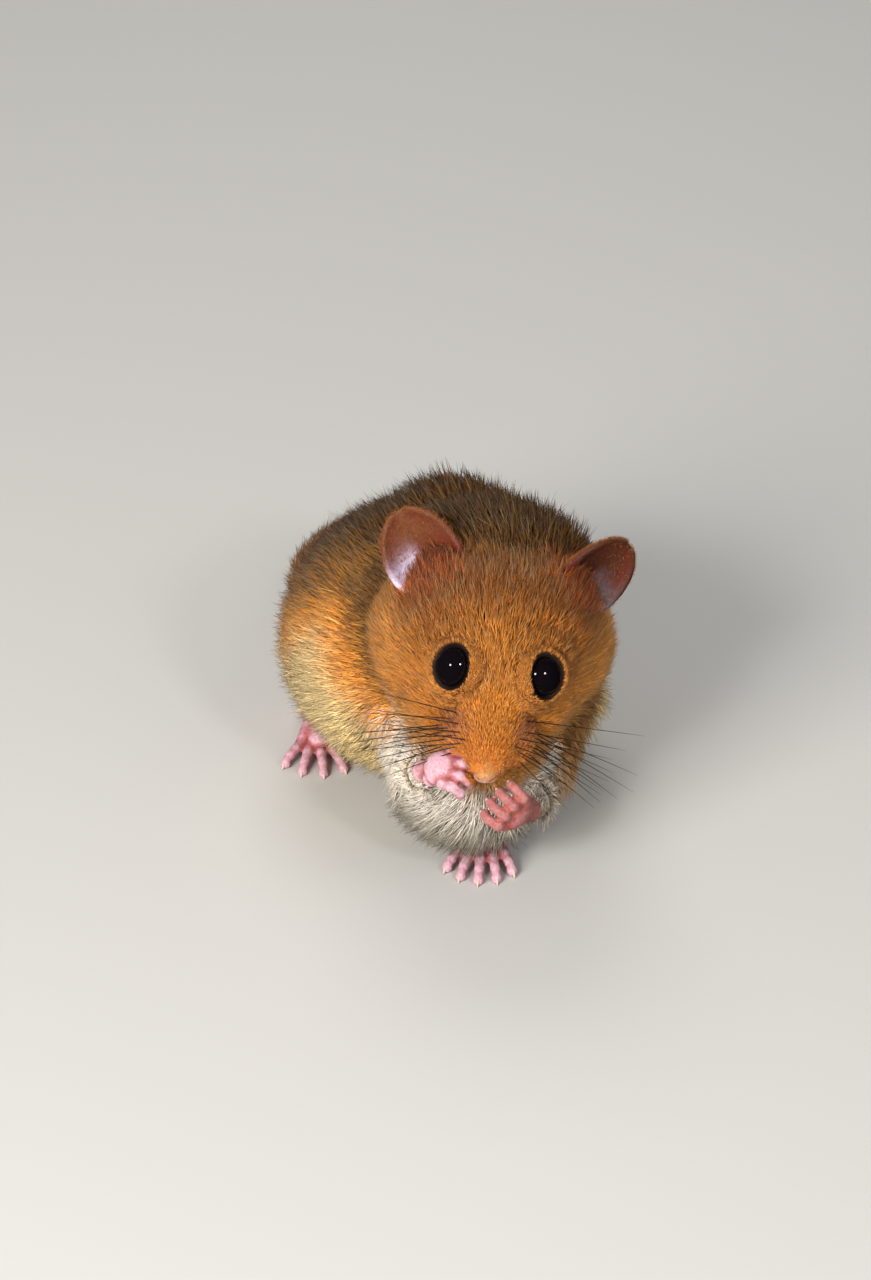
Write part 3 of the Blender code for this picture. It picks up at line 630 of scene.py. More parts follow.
def pelt_of(at, head_part, tail_part, limb_part):
    """Coat colour and share of dark ticking at points of the body."""
    x, y, z = (at - np.array(BODY_AT)).T
    edge_low = 8.5 * soft_step(0.8, 5.0, x) * soft_step(6.0, 12.0, -y)
    wander = 0.7 * np.sin(x * 0.9 + y * 0.7) + 0.5 * np.sin(y * 1.7 - z * 1.1)
    wander += 0.3 * np.sin(x * 2.3 + z * 2.9)
    up = z - np.interp(y, EDGE_Y, EDGE_Z) + edge_low + wander
    # Higher up the trunk the coat turns to the darker back colour, partly the coat's own brown and partly
    # painted shade on the top.
    back = mix(FLANK_TAN, BACK_BROWN_AND_SHADE, soft_step(1.0, 8.0, up - 0.7 * edge_low))
    pale = mix(EDGE_YELLOW, BELLY_CREAM, soft_step(1.0, 7.0, -up))
    throat = soft_step(7.0, 12.0, -y) * soft_step(0.8, 4.0, -up)
    pale = mix(pale, THROAT_WHITE, throat)
    # Painted shade: the low breast under the head is greyed as if in shadow.
    pale = mix(pale, BREAST_SHADE_GREY, soft_step(11.0, 15.0, -y) * (1 - soft_step(6.0, 12.0, z)))
    trunk = mix(pale, back, soft_step(-1.5, 1.5, up))
    ticked = 0.16 + 0.26 * soft_step(-1.0, 5.0, up)

    hx, hy, hz = in_head(at).T
    side = np.abs(hx)
    face_colour = np.repeat(FACE_ORANGE[None], len(at), axis=0)
    mirrored = np.column_stack((side, hy, hz))
    crown = soft_step(0.0, 6.0, hy + 0.35 * hz - 1.5)
    cheek = soft_step(4.0, 8.5, side) * (1 - soft_step(0.0, 5.0, hz))
    chin = (1 - soft_step(-8.6, -6.4, hz + 0.05 * side)) * (1 - soft_step(1.0, 4.0, hx))
    tip = away_from(mirrored, (0, -12.4, -2.3))
    eye = away_from(mirrored, eye_spot(1))
    ring = (1 - soft_step(3.0, 4.2, eye)) * soft_step(2.2, 2.5, eye)
    for patch, share in (
            (BROW_RUSSET, soft_step(-5.5, 0.5, hy)),
            (CROWN_BROWN, crown),
            (CHEEK_GOLD, cheek),
            (JAW_GOLD, 1 - soft_step(-7.4, -3.4, hz + 0.10 * side)),
            (CHIN_CREAM, chin),
            (EAR_FOOT_RED, 0.85 * (1 - soft_step(2.2, 5.4, away_from(mirrored, (6.6, 4.0, 4.6))))),
            (WHISKER_PAD_PINK, 0.7 * (1 - soft_step(0.8, 2.2, away_from(mirrored, (3.0, -9.0, -1.0))))),
            (SNOUT_ORANGE, 0.8 * (1 - soft_step(2.2, 4.6, tip))),
            (NOSE_EDGE_PALE, 0.8 * (1 - soft_step(0.5, 1.3, tip))),
            (EYE_RING_TAN, 0.45 * ring),
            (SMUDGE_BROWN, 0.35 * (1 - soft_step(1.2, 2.6, away_from(mirrored, (4.2, -7.2, 0.4)))))):
        face_colour = mix(face_colour, patch, share)
    colour = mix(trunk, face_colour, head_part)
    ticked = ticked * (1 - head_part) + (0.08 + 0.22 * crown) * head_part
    tail_colour = mix(TAIL_UNDER, TAIL_TOP, soft_step(2.0, 5.0, z))
    colour = mix(colour, tail_colour, tail_part)
    limb_colour = mix(SHANK_CREAM, ARM_TAN, soft_step(4.0, 10.0, z))
    fore = soft_step(4.0, 9.0, -y) * (1 - soft_step(1.0, 5.0, x))
    colour = mix(colour, limb_colour, (0.70 - 0.50 * fore) * limb_part * (1 - head_part))
    return colour, ticked


def seen_from(place, points):
    """Rows of points in the frame of a place."""
    return (points - np.array(place.translation)) @ np.array(place.to_3x3())


UNDER_SHADE = 0.70
LID_DARK, NOSE_PINK, LINE_SHADE = linear(26, 15, 11), linear(226, 170, 150), linear(40, 18, 14)
PAW_FLESH, PAW_PAINTED_HIGHLIGHT, PAW_CREASE_SHADE = linear(184, 112, 118), linear(218, 172, 186), linear(150, 66, 60)
LEFT_HAND_SHADE = linear(168, 92, 78)
pelt, _ = pelt_of(skin_co, head_share, tail_share, limb_share)
skin_colour = pelt * UNDER_SHADE
lid_share = np.zeros(len(skin_co))
for side in SIDES:
    socket = socket_frame(side)
    local = seen_from(socket, skin_co)
    across = np.hypot(local[:, 0] / LID_ACROSS, local[:, 1] / LID_TALL)
    shown = (local[:, 2] > 0) * (local[:, 2] < 4)
    lid_share = np.maximum(lid_share, (1 - soft_step(1.04, 1.20, across)) * shown)
    skin_colour = mix(skin_colour, LID_DARK, (1 - soft_step(1.08, 1.42, across)) * shown)
NOSE_PAD_AT, NOSE_PAD_RADII = np.array((0, -12.85, -2.95)), np.array((1.15, 0.80, 0.60))
nose_at = np.linalg.norm((head_at - NOSE_PAD_AT) / NOSE_PAD_RADII, axis=1)
nose_share = 1 - soft_step(0.95, 1.25, nose_at)
skin_colour = mix(skin_colour, NOSE_PINK, nose_share)
# Bare paws: painted highlight on their bulges and darker red painted shade in their creases.
pink = mix(PAW_FLESH, PAW_PAINTED_HIGHLIGHT, soft_step(0.1, 0.8, -hollow))
pink = mix(pink, PAW_CREASE_SHADE, 0.8 * soft_step(0.15, 0.9, hollow))
# Painted shade: the animal's left hand, round its palm, is darkened as if in shadow.
left_hand_shade_share = 1 - soft_step(3.6, 5.0, away_from(skin_co, on_body(PALM[1])))
pink = mix(pink, LEFT_HAND_SHADE, 0.75 * left_hand_shade_share)
skin_colour = mix(skin_colour, pink, paw_share)
ear_inside = np.zeros(len(skin_co))
EAR_BACK, EAR_EDGE = linear(124, 74, 36), linear(150, 96, 54)
# The cup of the animal's left ear is a darker copy of the right one, painted shade, and its painted highlight
# is dimmer.
EAR_CUP_LOW_LEFT_SHADED = {-1: linear(116, 54, 36), 1: linear(62, 27, 20)}
EAR_CUP_HIGH_LEFT_SHADED = {-1: linear(112, 64, 38), 1: linear(82, 44, 27)}
EAR_CUP_RISE = {-1: (0.35, 0.75), 1: (0.4, 0.8)}
EAR_PAINTED_HIGHLIGHT = {-1: linear(224, 214, 246), 1: linear(150, 132, 142)}
EAR_FOLD_SHADE = linear(104, 34, 26)
for side in SIDES:
    turn = ear_place[side]
    local = seen_from(turn, skin_co)
    facing = skin_normal @ np.array(turn.to_3x3())
    near_ear = ear_share * (away_from(local, (0, 0, 4.5)) < 8)
    up = local[:, 2] / EAR_LENGTH
    inside = soft_step(0.0, 0.5, -facing[:, 1]) * near_ear
    ear_inside = np.maximum(ear_inside, inside)
    outer = mix(EAR_BACK, EAR_EDGE, soft_step(0.6, 1.0, up))
    cup = mix(EAR_CUP_LOW_LEFT_SHADED[side], EAR_CUP_HIGH_LEFT_SHADED[side], soft_step(*EAR_CUP_RISE[side], up))
    # Painted highlight: a pale lavender patch low in the cup, standing for a reflection.
    painted_highlight = np.exp(-((up - 0.38) / 0.17) ** 2) * soft_step(-0.2, 1.2, local[:, 0] * side)
    # Painted shade: dark red in the cup's fold and in its hollows.
    fold = np.exp(-((up - 0.40) / 0.16) ** 2) * soft_step(0.2, 1.6, -local[:, 0] * side)
    cup = mix(cup, EAR_PAINTED_HIGHLIGHT[side], 0.9 * painted_highlight)
    cup = mix(cup, EAR_FOLD_SHADE, np.maximum(0.7 * fold, 0.5 * soft_step(0.1, 0.7, hollow) * (1 - painted_highlight)))
    skin_colour = mix(skin_colour, outer, near_ear * (1 - inside))
    skin_colour = mix(skin_colour, cup, inside)
# Painted shade in the pressed-in mouth line, cleft and nostrils.
skin_colour = mix(skin_colour, LINE_SHADE, 0.85 * line_shade_share)


def smooth(mesh):
    """Shade a mesh round instead of flat."""
    mesh.polygons.foreach_set("use_smooth", np.ones(len(mesh.polygons), bool))


def point_values(mesh, name, values):
    """Write one number or one colour for every corner of a mesh."""
    if values.ndim == 1:
        mesh.attributes.new(name, "FLOAT", "POINT").data.foreach_set("value", values.astype(np.float32))
    else:
        full = np.ones((len(values), 4), np.float32)
        full[:, :3] = values
        mesh.color_attributes.new(name, "FLOAT_COLOR", "POINT").data.foreach_set("color", full.ravel())


point_values(skin.data, "pelt", skin_colour)
point_values(skin.data, "bare", np.clip(paw_share + nose_share + 0.8 * ear_inside, 0, 1))
smooth(skin.data)


# Hair and hide are flecked lighter and darker in fine grains, by one shader group for both.
def new_group(name, inputs, outputs):
    """An empty shader group with named sockets."""
    group = bpy.data.node_groups.new(name, "ShaderNodeTree")
    for label, kind, value in inputs:
        socket = group.interface.new_socket(label, in_out="INPUT", socket_type=kind)
        if value is not None:
            socket.default_value = value
    for label, kind in outputs:
        group.interface.new_socket(label, in_out="OUTPUT", socket_type=kind)
    return group, group.nodes.new("NodeGroupInput"), group.nodes.new("NodeGroupOutput")


def set_inputs(node, values):
    """Fixed values of a shader node's own inputs."""
    for key, value in values.items():
        node.inputs[key].default_value = value


def add_node(tree, kind, values=None, **settings):
    """A node with its plain settings and fixed values."""
    node = tree.nodes.new(kind)
    for key, value in settings.items():
        setattr(node, key, value)
    set_inputs(node, values or {})
    return node


def join(tree, *wires):
    """Links given as source node, its output, next node and its input."""
    for source, output, sink, entry in wires:
        tree.links.new(source.outputs[output], sink.inputs[entry])


fleck_group, given, made = new_group(
    "flecked hair colour",
    [("Colour", "NodeSocketColor", None), ("Fleck scale", "NodeSocketFloat", 2600.0),
     ("Amount", "NodeSocketFloat", 0.3)],
    [("Colour", "NodeSocketColor"), ("Height", "NodeSocketFloat")])
where = add_node(fleck_group, "ShaderNodeTexCoord")
fleck = add_node(fleck_group, "ShaderNodeTexNoise", {"Detail": 3.0})
span = add_node(fleck_group, "ShaderNodeMapRange", {"From Min": 0.3, "From Max": 0.7})
less = add_node(fleck_group, "ShaderNodeMath", {0: 1.0}, operation="SUBTRACT")
more = add_node(fleck_group, "ShaderNodeMath", {0: 1.0}, operation="ADD")
scaled = add_node(fleck_group, "ShaderNodeVectorMath", operation="SCALE")
join(fleck_group, (where, "Object", fleck, "Vector"), (given, "Fleck scale", fleck, "Scale"),
     (fleck, "Fac", span, "Value"), (given, "Amount", less, 1), (given, "Amount", more, 1),
     (less, "Value", span, "To Min"), (more, "Value", span, "To Max"),
     (given, "Colour", scaled, 0), (span, "Result", scaled, "Scale"),
     (scaled, "Vector", made, "Colour"), (fleck, "Fac", made, "Height"))


def new_material(name, values=None):
    """A material with its tree, and its principled shader with fixed values."""
    material = bpy.data.materials.new(name)
    material.use_nodes = True
    shader = material.node_tree.nodes["Principled BSDF"]
    set_inputs(shader, values or {})
    return material, material.node_tree, shader


skin_material, tree, shader = new_material(
    "dormouse skin",
    {"Subsurface Weight": 0.08, "Subsurface Scale": 0.0006, "Subsurface Radius": (1.0, 0.35, 0.25)})
pelt_in = add_node(tree, "ShaderNodeAttribute", attribute_name="pelt")
bare_in = add_node(tree, "ShaderNodeAttribute", attribute_name="bare")
flecks = add_node(tree, "ShaderNodeGroup", {"Fleck scale": 3800.0, "Amount": 0.22}, node_tree=fleck_group)
rough = add_node(tree, "ShaderNodeMapRange", {"To Min": 0.62, "To Max": 0.31})
bump = add_node(tree, "ShaderNodeBump", {"Strength": 0.55, "Distance": 0.00012})
join(tree, (pelt_in, "Color", flecks, "Colour"), (flecks, "Colour", shader, "Base Color"),
     (bare_in, "Fac", rough, "Value"), (rough, "Result", shader, "Roughness"),
     (flecks, "Height", bump, "Height"), (bump, "Normal", shader, "Normal"))
skin.data.materials.clear()
skin.data.materials.append(skin_material)
bpy.data.objects.remove(under)

# Coat: soft hair, golden brown above and cream below, long on trunk and tail, shortest on the face. Each tuft
# is a closed three-sided blade of ten triangles, rooted a little under the skin and bent to lie along it.
coat_material, tree, shader = new_material(
    "dormouse hair",
    {"Roughness": 0.46, "Specular IOR Level": 0.25, "Sheen Weight": 0.05, "Sheen Roughness": 0.4})
pelt_in = add_node(tree, "ShaderNodeAttribute", attribute_name="pelt")
flecks = add_node(tree, "ShaderNodeGroup", {"Fleck scale": 1500.0, "Amount": 0.12}, node_tree=fleck_group)
join(tree, (pelt_in, "Color", flecks, "Colour"), (flecks, "Colour", shader, "Base Color"))
TUFTS = 140000 if fine else 60000
PIECE_LIMIT = 19500
rng = np.random.default_rng(41)
corner = skin_co[skin_tri]
area = np.linalg.norm(np.cross(corner[:, 1] - corner[:, 0], corner[:, 2] - corner[:, 0]), axis=1) / 2
tri_depth = skin_depth[skin_tri].mean(axis=1)
tri_head = head_share[skin_tri].mean(axis=1)
tri_ear = ear_share[skin_tri].mean(axis=1)
tri_paw = paw_share[skin_tri].mean(axis=1)
tri_down = skin_normal[skin_tri].mean(axis=1)[:, 2]
crowd = 1.0 + 0.9 * tri_head + 0.5 * (1 - soft_step(0.4, 1.0, tri_depth))
crowd = crowd * (1 - 0.5 * soft_step(0.3, 0.9, -tri_down))
crowd *= (1 - 0.45 * tri_ear) * (tri_paw < 0.35)
tri_eye = eye_gap[skin_tri].mean(axis=1)
crowd *= np.where((tri_depth < 0.10) & (tri_ear < 0.5) & (tri_eye > 4.0), 0.5, 1.0)
crowd *= 1 + 0.9 * (1 - soft_step(2.8, 4.0, tri_eye))
crowd *= (lid_share[skin_tri].mean(axis=1) < 0.4) * (nose_share[skin_tri].mean(axis=1) < 0.4)
crowd *= 1 - 0.85 * ear_inside[skin_tri].mean(axis=1)
chosen = rng.choice(len(skin_tri), TUFTS, p=area * crowd / (area * crowd).sum())
share = rng.random((TUFTS, 2))
share[share.sum(1) > 1] = 1 - share[share.sum(1) > 1]
share = np.column_stack((1 - share.sum(1), share))


def at_roots(values):
    """Values of the skin's corners at the roots of the tufts."""
    picked = values[skin_tri[chosen]]
    return (picked * share[:, :, None]).sum(1) if values.ndim == 2 else (picked * share).sum(1)


root, out = at_roots(skin_co), unit(at_roots(skin_normal))
lie, here_depth = at_roots(skin_flow), at_roots(skin_depth)
root_head, root_tail = at_roots(head_share), at_roots(tail_share)
root_limb, root_ear = at_roots(limb_share), at_roots(ear_share)
# Angles in degrees that a tuft's lower and upper halves rise from the skin, for lying and for stray hair.
LIFT, STRAY_LIFT, STRAY_SHARE = (38, 14), (52, 32), 0.07
RISE_OF_LENGTH, ROOT_SUNK, LIE_SCATTER = 0.44, 0.10, 0.22
ear_up = np.array(HEAD_TURN @ Vector((0, 0.4, 1)))
lie = lie * (1 - root_ear)[:, None] + ear_up * root_ear[:, None]
lie = unit(lie - out * (lie * out).sum(1)[:, None])
sideways = np.cross(out, lie)
lie = unit(lie + sideways * rng.normal(0, LIE_SCATTER, TUFTS)[:, None])
sideways = np.cross(out, lie)
here_depth = np.maximum(here_depth, 0.10 + 0.10 * root_ear + 0.07 * (at_roots(eye_gap) < 3.6))
stray = rng.random(TUFTS) < STRAY_SHARE
lift_low = np.radians(np.where(stray, STRAY_LIFT[0], LIFT[0]) + rng.normal(0, 5, TUFTS))
lift_high = np.radians(np.where(stray, STRAY_LIFT[1], LIFT[1]) + rng.normal(0, 6, TUFTS))
length = here_depth / RISE_OF_LENGTH * rng.uniform(0.80, 1.12, TUFTS) * np.where(stray, 0.98, 1.0) + 0.12
width = (0.050 + 0.022 * soft_step(0.3, 1.8, here_depth)) * rng.uniform(0.8, 1.25, TUFTS)
width = width * (1 if fine else 1.45)
width *= np.where(stray, 0.6, 1.0) * (1 - 0.4 * root_ear)
base = root - out * ROOT_SUNK
middle = base + (lie * np.cos(lift_low)[:, None] + out * np.sin(lift_low)[:, None]) * (length * 0.5)[:, None]
tip = middle + (lie * np.cos(lift_high)[:, None] + out * np.sin(lift_high)[:, None]) * (length * 0.5)[:, None]
ring = [sideways * 1.0, sideways * -0.5 + out * 0.5, sideways * -0.5 - out * 0.5]
foot = [base + r * width[:, None] for r in ring]
bend = [middle + r * (0.85 * width)[:, None] for r in ring]
blades = np.stack(foot + bend + [tip], axis=1)
low_limit, high_limit = np.array(cad_low) / MM, np.array(cad_high) / MM
past = np.maximum(blades - high_limit, 0) - np.maximum(low_limit - blades, 0)
blades -= 0.7 * past
blades[:, :, 2] = np.maximum(blades[:, :, 2], 0.03)
over_eye = np.zeros(TUFTS, bool)
for side in SIDES:
    socket = socket_frame(side)
    for spot in (middle, tip):
        local = seen_from(socket, spot)
        near = np.hypot(local[:, 0] / LID_ACROSS, local[:, 1] / LID_TALL) < 1.07
        over_eye |= near & (local[:, 2] > 0.5) & (local[:, 2] < 4.5)
BLADE = np.array([(0, 2, 1), (0, 1, 4), (0, 4, 3), (1, 2, 5), (1, 5, 4), (2, 0, 3), (2, 3, 5),
                  (3, 4, 6), (4, 5, 6), (5, 3, 6)])

# Neighbouring tufts mix their colours a little; tips are dark where the coat is ticked and pale on others.
shifted = root + rng.normal(0, 0.45, (TUFTS, 3))
hair, tick = pelt_of(shifted, root_head, root_tail, root_limb)
EAR_HAIR, PALE_TIP = linear(160, 96, 48), linear(240, 214, 160)
hair = mix(hair, EAR_HAIR[None], root_ear)
tone = np.exp(rng.normal(0, 0.15, TUFTS))[:, None]
dark_tip = rng.random(TUFTS) < tick
pale_tip = (rng.random(TUFTS) < 0.24 + 0.14 * root_head) & ~dark_tip
end = hair * 1.12
end[dark_tip] = hair[dark_tip] * 0.30
end[pale_tip] = mix(hair[pale_tip], PALE_TIP[None], 0.34 + 0.10 * root_head[pale_tip])
blade_colour = np.stack([hair * 0.55 * tone] * 3 + [hair * 0.98 * tone] * 3 + [end * tone], axis=1)

# Places of the roots on an unwrap of the skin's own shape: six charts by the side the skin faces.
PATCH_HALF = 0.0015
steepest = np.argmax(np.abs(out), axis=1)
facing = steepest * 2 + (np.take_along_axis(out, steepest[:, None], 1)[:, 0] > 0)
region = np.where(root_tail > 0.5, 2, np.where(root_head > 0.5, 0, 1))
order = np.lexsort((root[:, 1], region))
for number, label in enumerate(["coat_head", "coat_body", "coat_tail"]):
    rows = order[(region[order] == number) & ~over_eye[order]]
    parts_needed = max(1, math.ceil(len(rows) / PIECE_LIMIT))
    for part, block in enumerate(np.array_split(rows, parts_needed)):
        corners = blades[block].reshape(-1, 3)
        faces = (BLADE[None] + 7 * np.arange(len(block))[:, None, None]).reshape(-1, 3)
        piece = placed(f"{label}_{part + 1}", mesh_from(f"{label}_{part + 1}", corners, faces))
        point_values(piece.data, "pelt", blade_colour[block].reshape(-1, 3))
        uv = np.zeros((len(block), 2))
        for chart in range(6):
            here = facing[block] == chart
            if not here.any():
                continue
            axes = [a for a in range(3) if a != chart // 2]
            flat = root[block][here][:, axes]
            low, size = flat.min(0), np.ptp(flat, axis=0) + 0.01
            cell = np.array((chart % 3, chart // 3))
            uv[here] = ((flat - low) / size * 0.94 + 0.03 + cell) / np.array((3, 2))
        spots = np.array([(-1, -1), (0, -1), (1, -1), (-1, 0), (0, 0), (1, 0), (0, 1)]) * PATCH_HALF
        per_corner = (uv[:, None] + spots[None]).reshape(-1, 2)
        layer = piece.data.uv_layers.new(name="OFBake")
        layer.data.foreach_set("uv", per_corner[faces.ravel()].astype(np.float32).ravel())
        piece.data.materials.append(coat_material)
        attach(piece, "root")

# Eyes: wet black balls, bulging and glassy, with a thin dark margin where the lids meet them. Each ball is
# seated behind the opening of its lids, and the margin is a closed ring laid round the opening.
EYE_BLACK, MARGIN_BLACK = (0.004, 0.003, 0.004, 1), (0.010, 0.006, 0.005, 1)
eye_material, tree, shader = new_material("wet black eye", {"Base Color": EYE_BLACK, "IOR": 1.45})
depths = add_node(tree, "ShaderNodeTexNoise", {"Scale": 900.0})
ramp = add_node(tree, "ShaderNodeMapRange", {"To Min": 0.03, "To Max": 0.06})
join(tree, (depths, "Fac", ramp, "Value"), (ramp, "Result", shader, "Roughness"))
margin_material, _, _ = new_material("dark lid margin", {"Base Color": MARGIN_BLACK, "Roughness": 0.13})
EYE_OUTWARD, EYE_BEHIND = 0.38, 0.10
RIM_STEPS, RIM_ROUND, RIM_THICK, RIM_OVER = 64, 10, 0.15, 0.10


def ring_about(at, one, two, count):
    """Corners of a ring about a point, given its two half axes."""
    turns = [2 * math.pi * k / count for k in range(count)]
    return [at + one * math.cos(turn) + two * math.sin(turn) for turn in turns]


def rows_of(vectors):
    """Vectors as rows of an array."""
    return np.array([tuple(v) for v in vectors])


for side, word in SIDES.items():
    form = bmesh.new()
    centre = from_head(((EYE_AT.x + EYE_OUTWARD) * side, EYE_AT.y, EYE_AT.z))
    bmesh.ops.create_icosphere(form, subdivisions=5, radius=(EYE_ACROSS - EYE_BEHIND) * MM,
                               matrix=Matrix.Translation(centre * MM))
    mesh = poured("eye_skin_" + word, form)
    smooth(mesh)
    eye = placed("wet_eye_" + word, mesh)
    mesh.materials.append(eye_material)
    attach(eye, "root")
    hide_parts("eye_" + word)

    socket = socket_frame(side)
    path = []
    for k in range(RIM_STEPS):
        angle = 2 * math.pi * k / RIM_STEPS
        x, y = LID_ACROSS * 0.99 * math.cos(angle), LID_TALL * 0.99 * math.sin(angle)
        path.append(Vector((x, y, math.sqrt((EYE_ACROSS + RIM_OVER) ** 2 - x * x - y * y))))
    rim_co, rim_tri = [], []
    for k, at in enumerate(path):
        ahead = (path[(k + 1) % RIM_STEPS] - path[k - 1]).normalized()
        over = at.normalized()
        out_way = ahead.cross(over).normalized()
        rim_co += [socket @ v for v in ring_about(at, out_way * RIM_THICK, over * RIM_THICK, RIM_ROUND)]
        here, after = k * RIM_ROUND, (k + 1) % RIM_STEPS * RIM_ROUND
        for j in range(RIM_ROUND):
            m = (j + 1) % RIM_ROUND
            rim_tri += [(here + j, after + j, after + m), (here + j, after + m, here + m)]
    margin = placed("lid_margin_" + word, mesh_from("lid_margin", rows_of(rim_co), np.array(rim_tri)))
    smooth(margin.data)
    margin.data.materials.append(margin_material)
    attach(margin, "root")

# Claws: small pale hooks of horn, one at the tip of every finger and toe. Each is a curved cone of five rings
# that grows from its seat above the end pad and bends down over it.
claw_material, tree, shader = new_material("pale claw", {"Roughness": 0.28})
grain = add_node(tree, "ShaderNodeTexNoise", {"Scale": 4000.0})
tint = add_node(tree, "ShaderNodeMix", data_type="RGBA")
set_inputs(tint, {6: (0.62, 0.40, 0.36, 1), 7: (0.80, 0.66, 0.60, 1)})
join(tree, (grain, "Fac", tint, 0), (tint, 2, shader, "Base Color"))
CLAW_SIDES, CLAW_RINGS, CLAW_WIDE, CLAW_DROP = 8, 5, 0.24, 0.38


def band(first, second, count):
    """Triangles between two rings, given by the number of each one's first corner."""
    faces = []
    for k in range(count):
        m = (k + 1) % count
        faces += [(first + k, first + m, second + m), (first + k, second + m, second + k)]
    return faces


claw_co, claw_tri = [], []
for seat_at, hook, top, long in claw_seats:
    first = len(claw_co)
    hook, top = hook.normalized(), top.normalized()
    wide = hook.cross(top).normalized()
    top = wide.cross(hook).normalized()
    for number in range(CLAW_RINGS):
        t = number / CLAW_RINGS
        mid = seat_at + hook * long * t - top * long * CLAW_DROP * t * t
        size = CLAW_WIDE * (1 - t) ** 0.7
        claw_co += ring_about(mid, wide * size * 0.75, top * size, CLAW_SIDES)
        if number:
            claw_tri += band(first + (number - 1) * CLAW_SIDES, first + number * CLAW_SIDES, CLAW_SIDES)
    claw_co += [seat_at + hook * long - top * long * CLAW_DROP, seat_at]
    point = first + CLAW_RINGS * CLAW_SIDES
    last = point - CLAW_SIDES
    for k in range(CLAW_SIDES):
        m = (k + 1) % CLAW_SIDES
        claw_tri += [(last + k, last + m, point), (first + m, first + k, point + 1)]
claw_co = rows_of(claw_co)
claw_co[:, 2] = np.maximum(claw_co[:, 2], FLOOR_GAP)
claws = placed("claws", mesh_from("claws", claw_co, np.array(claw_tri)))
smooth(claws.data)
claws.data.materials.append(claw_material)
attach(claws, "root")

# Whiskers: long dark bristles that taper to a point, four rows of four on each side of the muzzle. Each is
# rooted in the skin, runs outwards and sags; one that would reach past the solids' box is kept shorter.
WHISKER_BROWN = (0.030, 0.018, 0.012, 1)
whisker_material, _, _ = new_material("dark whisker", {"Base Color": WHISKER_BROWN, "Roughness": 0.35})
SEGMENTS, ROUND, WHISKER_ROWS, WHISKER_COLUMNS = 12, 5, 4, 4
WHISKER_THICK, WHISKER_POINT, WHISKER_LONG = 0.056, 0.008, 8.5
WHISKER_BEND = Vector((0, 0, -0.006))
LEFT_DROOP = 0.34
skin_tree = tree_of(skin_co)


def bristle(start, heading, long):
    """Points along one whisker that bends back and sags a little."""
    points = [start - heading * 0.2]
    for _ in range(SEGMENTS):
        heading = (heading + WHISKER_BEND + HEAD_TURN @ Vector((0, 0.004, 0))).normalized()
        points.append(points[-1] + heading * long / SEGMENTS)
    return points


whisker_co, whisker_tri = [], []
for side in SIDES:
    roots = []
    for row in range(WHISKER_ROWS):
        for column in range(WHISKER_COLUMNS):
            out_from = 2.3 + 0.36 * column + 0.15 * row
            place = Vector((out_from * side, -10.4 + 0.80 * column, -0.74 * row))
            droop = 0.06 + 0.20 * row + (LEFT_DROOP if side > 0 else 0.0)
            way = Vector((side * 1.0, -0.02 + 0.07 * column - 0.05 * row, -droop))
            roots.append((place, way, WHISKER_LONG + 2.0 * column + rng.uniform(-1, 1)))
    for place, way, long in roots:
        start = skin_tree.find(from_head(place))[0]
        heading = (HEAD_TURN @ (way + Vector(rng.normal(0, 0.06, 3)))).normalized()
        points = bristle(start, heading, long)
        while (np.array(points[-1]) < low_limit).any() or (np.array(points[-1]) > high_limit).any():
            long *= 0.95
            points = bristle(start, heading, long)
        first = len(whisker_co)
        for k, at in enumerate(points):
            ahead = (points[min(k + 1, SEGMENTS)] - points[max(k - 1, 0)]).normalized()
            one = ahead.orthogonal().normalized()
            size = WHISKER_THICK * (1 - k / SEGMENTS) ** 0.8 + WHISKER_POINT
            whisker_co += ring_about(at, one * size, ahead.cross(one) * size, ROUND)
        for k in range(SEGMENTS):
            whisker_tri += band(first + k * ROUND, first + (k + 1) * ROUND, ROUND)
        last = first + SEGMENTS * ROUND
        for j in range(1, ROUND - 1):
            whisker_tri += [(first, first + j + 1, first + j), (last, last + j, last + j + 1)]
whiskers = placed("whiskers", mesh_from("whiskers", rows_of(whisker_co), np.array(whisker_tri)))
whiskers.data.materials.append(whisker_material)
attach(whiskers, "root")

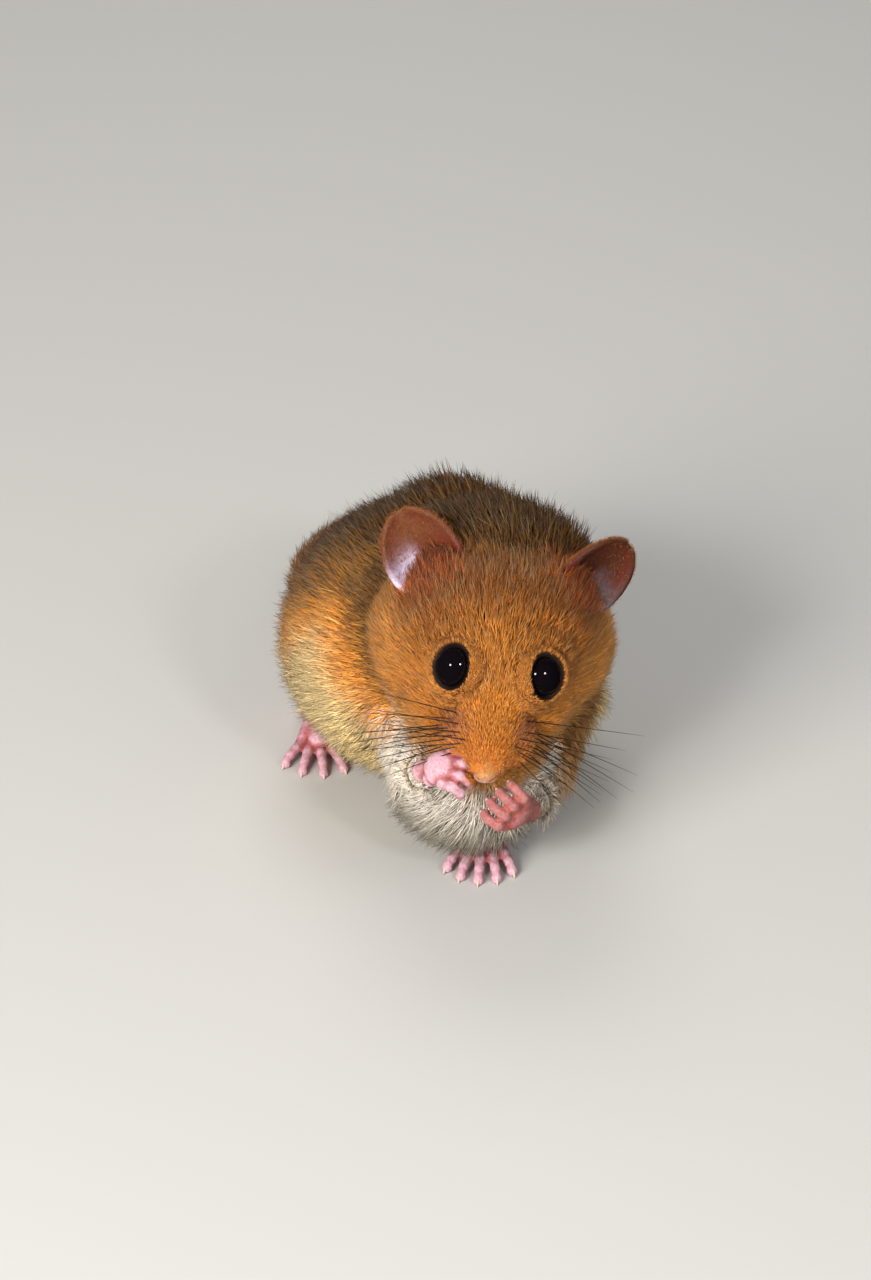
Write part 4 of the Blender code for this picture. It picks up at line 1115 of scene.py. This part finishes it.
# Floor, light and camera: a pale matt floor, warm light from the animal's right, a weak fill and a light from
# behind. Two small lamps give the catch lights in the eyes. The camera looks down on the animal's right side.
FLOOR_HALF = 900
floor_corners = np.array([(-1, -1, 0), (1, -1, 0), (1, 1, 0), (-1, 1, 0)], float) * FLOOR_HALF
floor_mesh = mesh_from("floor", floor_corners, np.array([(0, 1, 2), (0, 2, 3)]))
floor = placed("floor", floor_mesh)
floor_material, _, _ = new_material("pale floor", {"Base Color": (0.60, 0.60, 0.59, 1), "Roughness": 0.9})
floor_mesh.materials.append(floor_material)
floor.visible_glossy = False

world = bpy.data.worlds.new("studio")
scene.world = world
world.use_nodes = True
world.cycles_visibility.glossy = False
set_inputs(world.node_tree.nodes["Background"], {"Color": (1.0, 0.98, 0.95, 1), "Strength": 0.26})

LOOK_AT = on_body((-7.08, -14.2, 24.0))
CAMERA_STAND = (-20, 32, 330)


def round_the_look(azimuth, elevation, distance):
    """A place about the point looked at, from two angles in degrees and millimetres."""
    a, e = math.radians(azimuth), math.radians(elevation)
    return LOOK_AT + Vector((math.sin(a) * math.cos(e), -math.cos(a) * math.cos(e), math.sin(e))) * distance


def stand(name, data, place):
    """An object with its data at a place, turned to the point looked at."""
    made = bpy.data.objects.new(name, data)
    scene.collection.objects.link(made)
    made.location = place * MM
    made.rotation_euler = (LOOK_AT - place).to_track_quat("-Z", "Y").to_euler()
    return made


def lamp(name, place, size, energy, colour, glossy=False):
    """A round soft light aimed at the animal."""
    data = bpy.data.lights.new(name, "AREA")
    data.shape = "DISK"
    data.size = size * MM
    data.energy = energy
    data.color = colour
    stand(name, data, place).visible_glossy = glossy


lamp("key", round_the_look(-56, 26, 420), 230, 2.0, (1.0, 0.95, 0.87))
lamp("fill", round_the_look(20, 40, 420), 300, 0.20, (1.0, 0.97, 0.94))
lamp("rim", round_the_look(165, 50, 420), 220, 0.5, (1.0, 0.98, 0.95))
lamp("catch_1", round_the_look(-46, 34, 330), 48, 0.20, (1, 1, 1), glossy=True)
lamp("catch_2", round_the_look(10, 36, 330), 48, 0.20, (1, 1, 1), glossy=True)

camera_data = bpy.data.cameras.new("camera")
camera_data.lens = 100
camera_data.sensor_width = 36
camera_data.clip_start = 0.01
camera_data.clip_end = 10
scene.camera = stand("camera", camera_data, round_the_look(*CAMERA_STAND))
scene.view_settings.view_transform = "Standard"
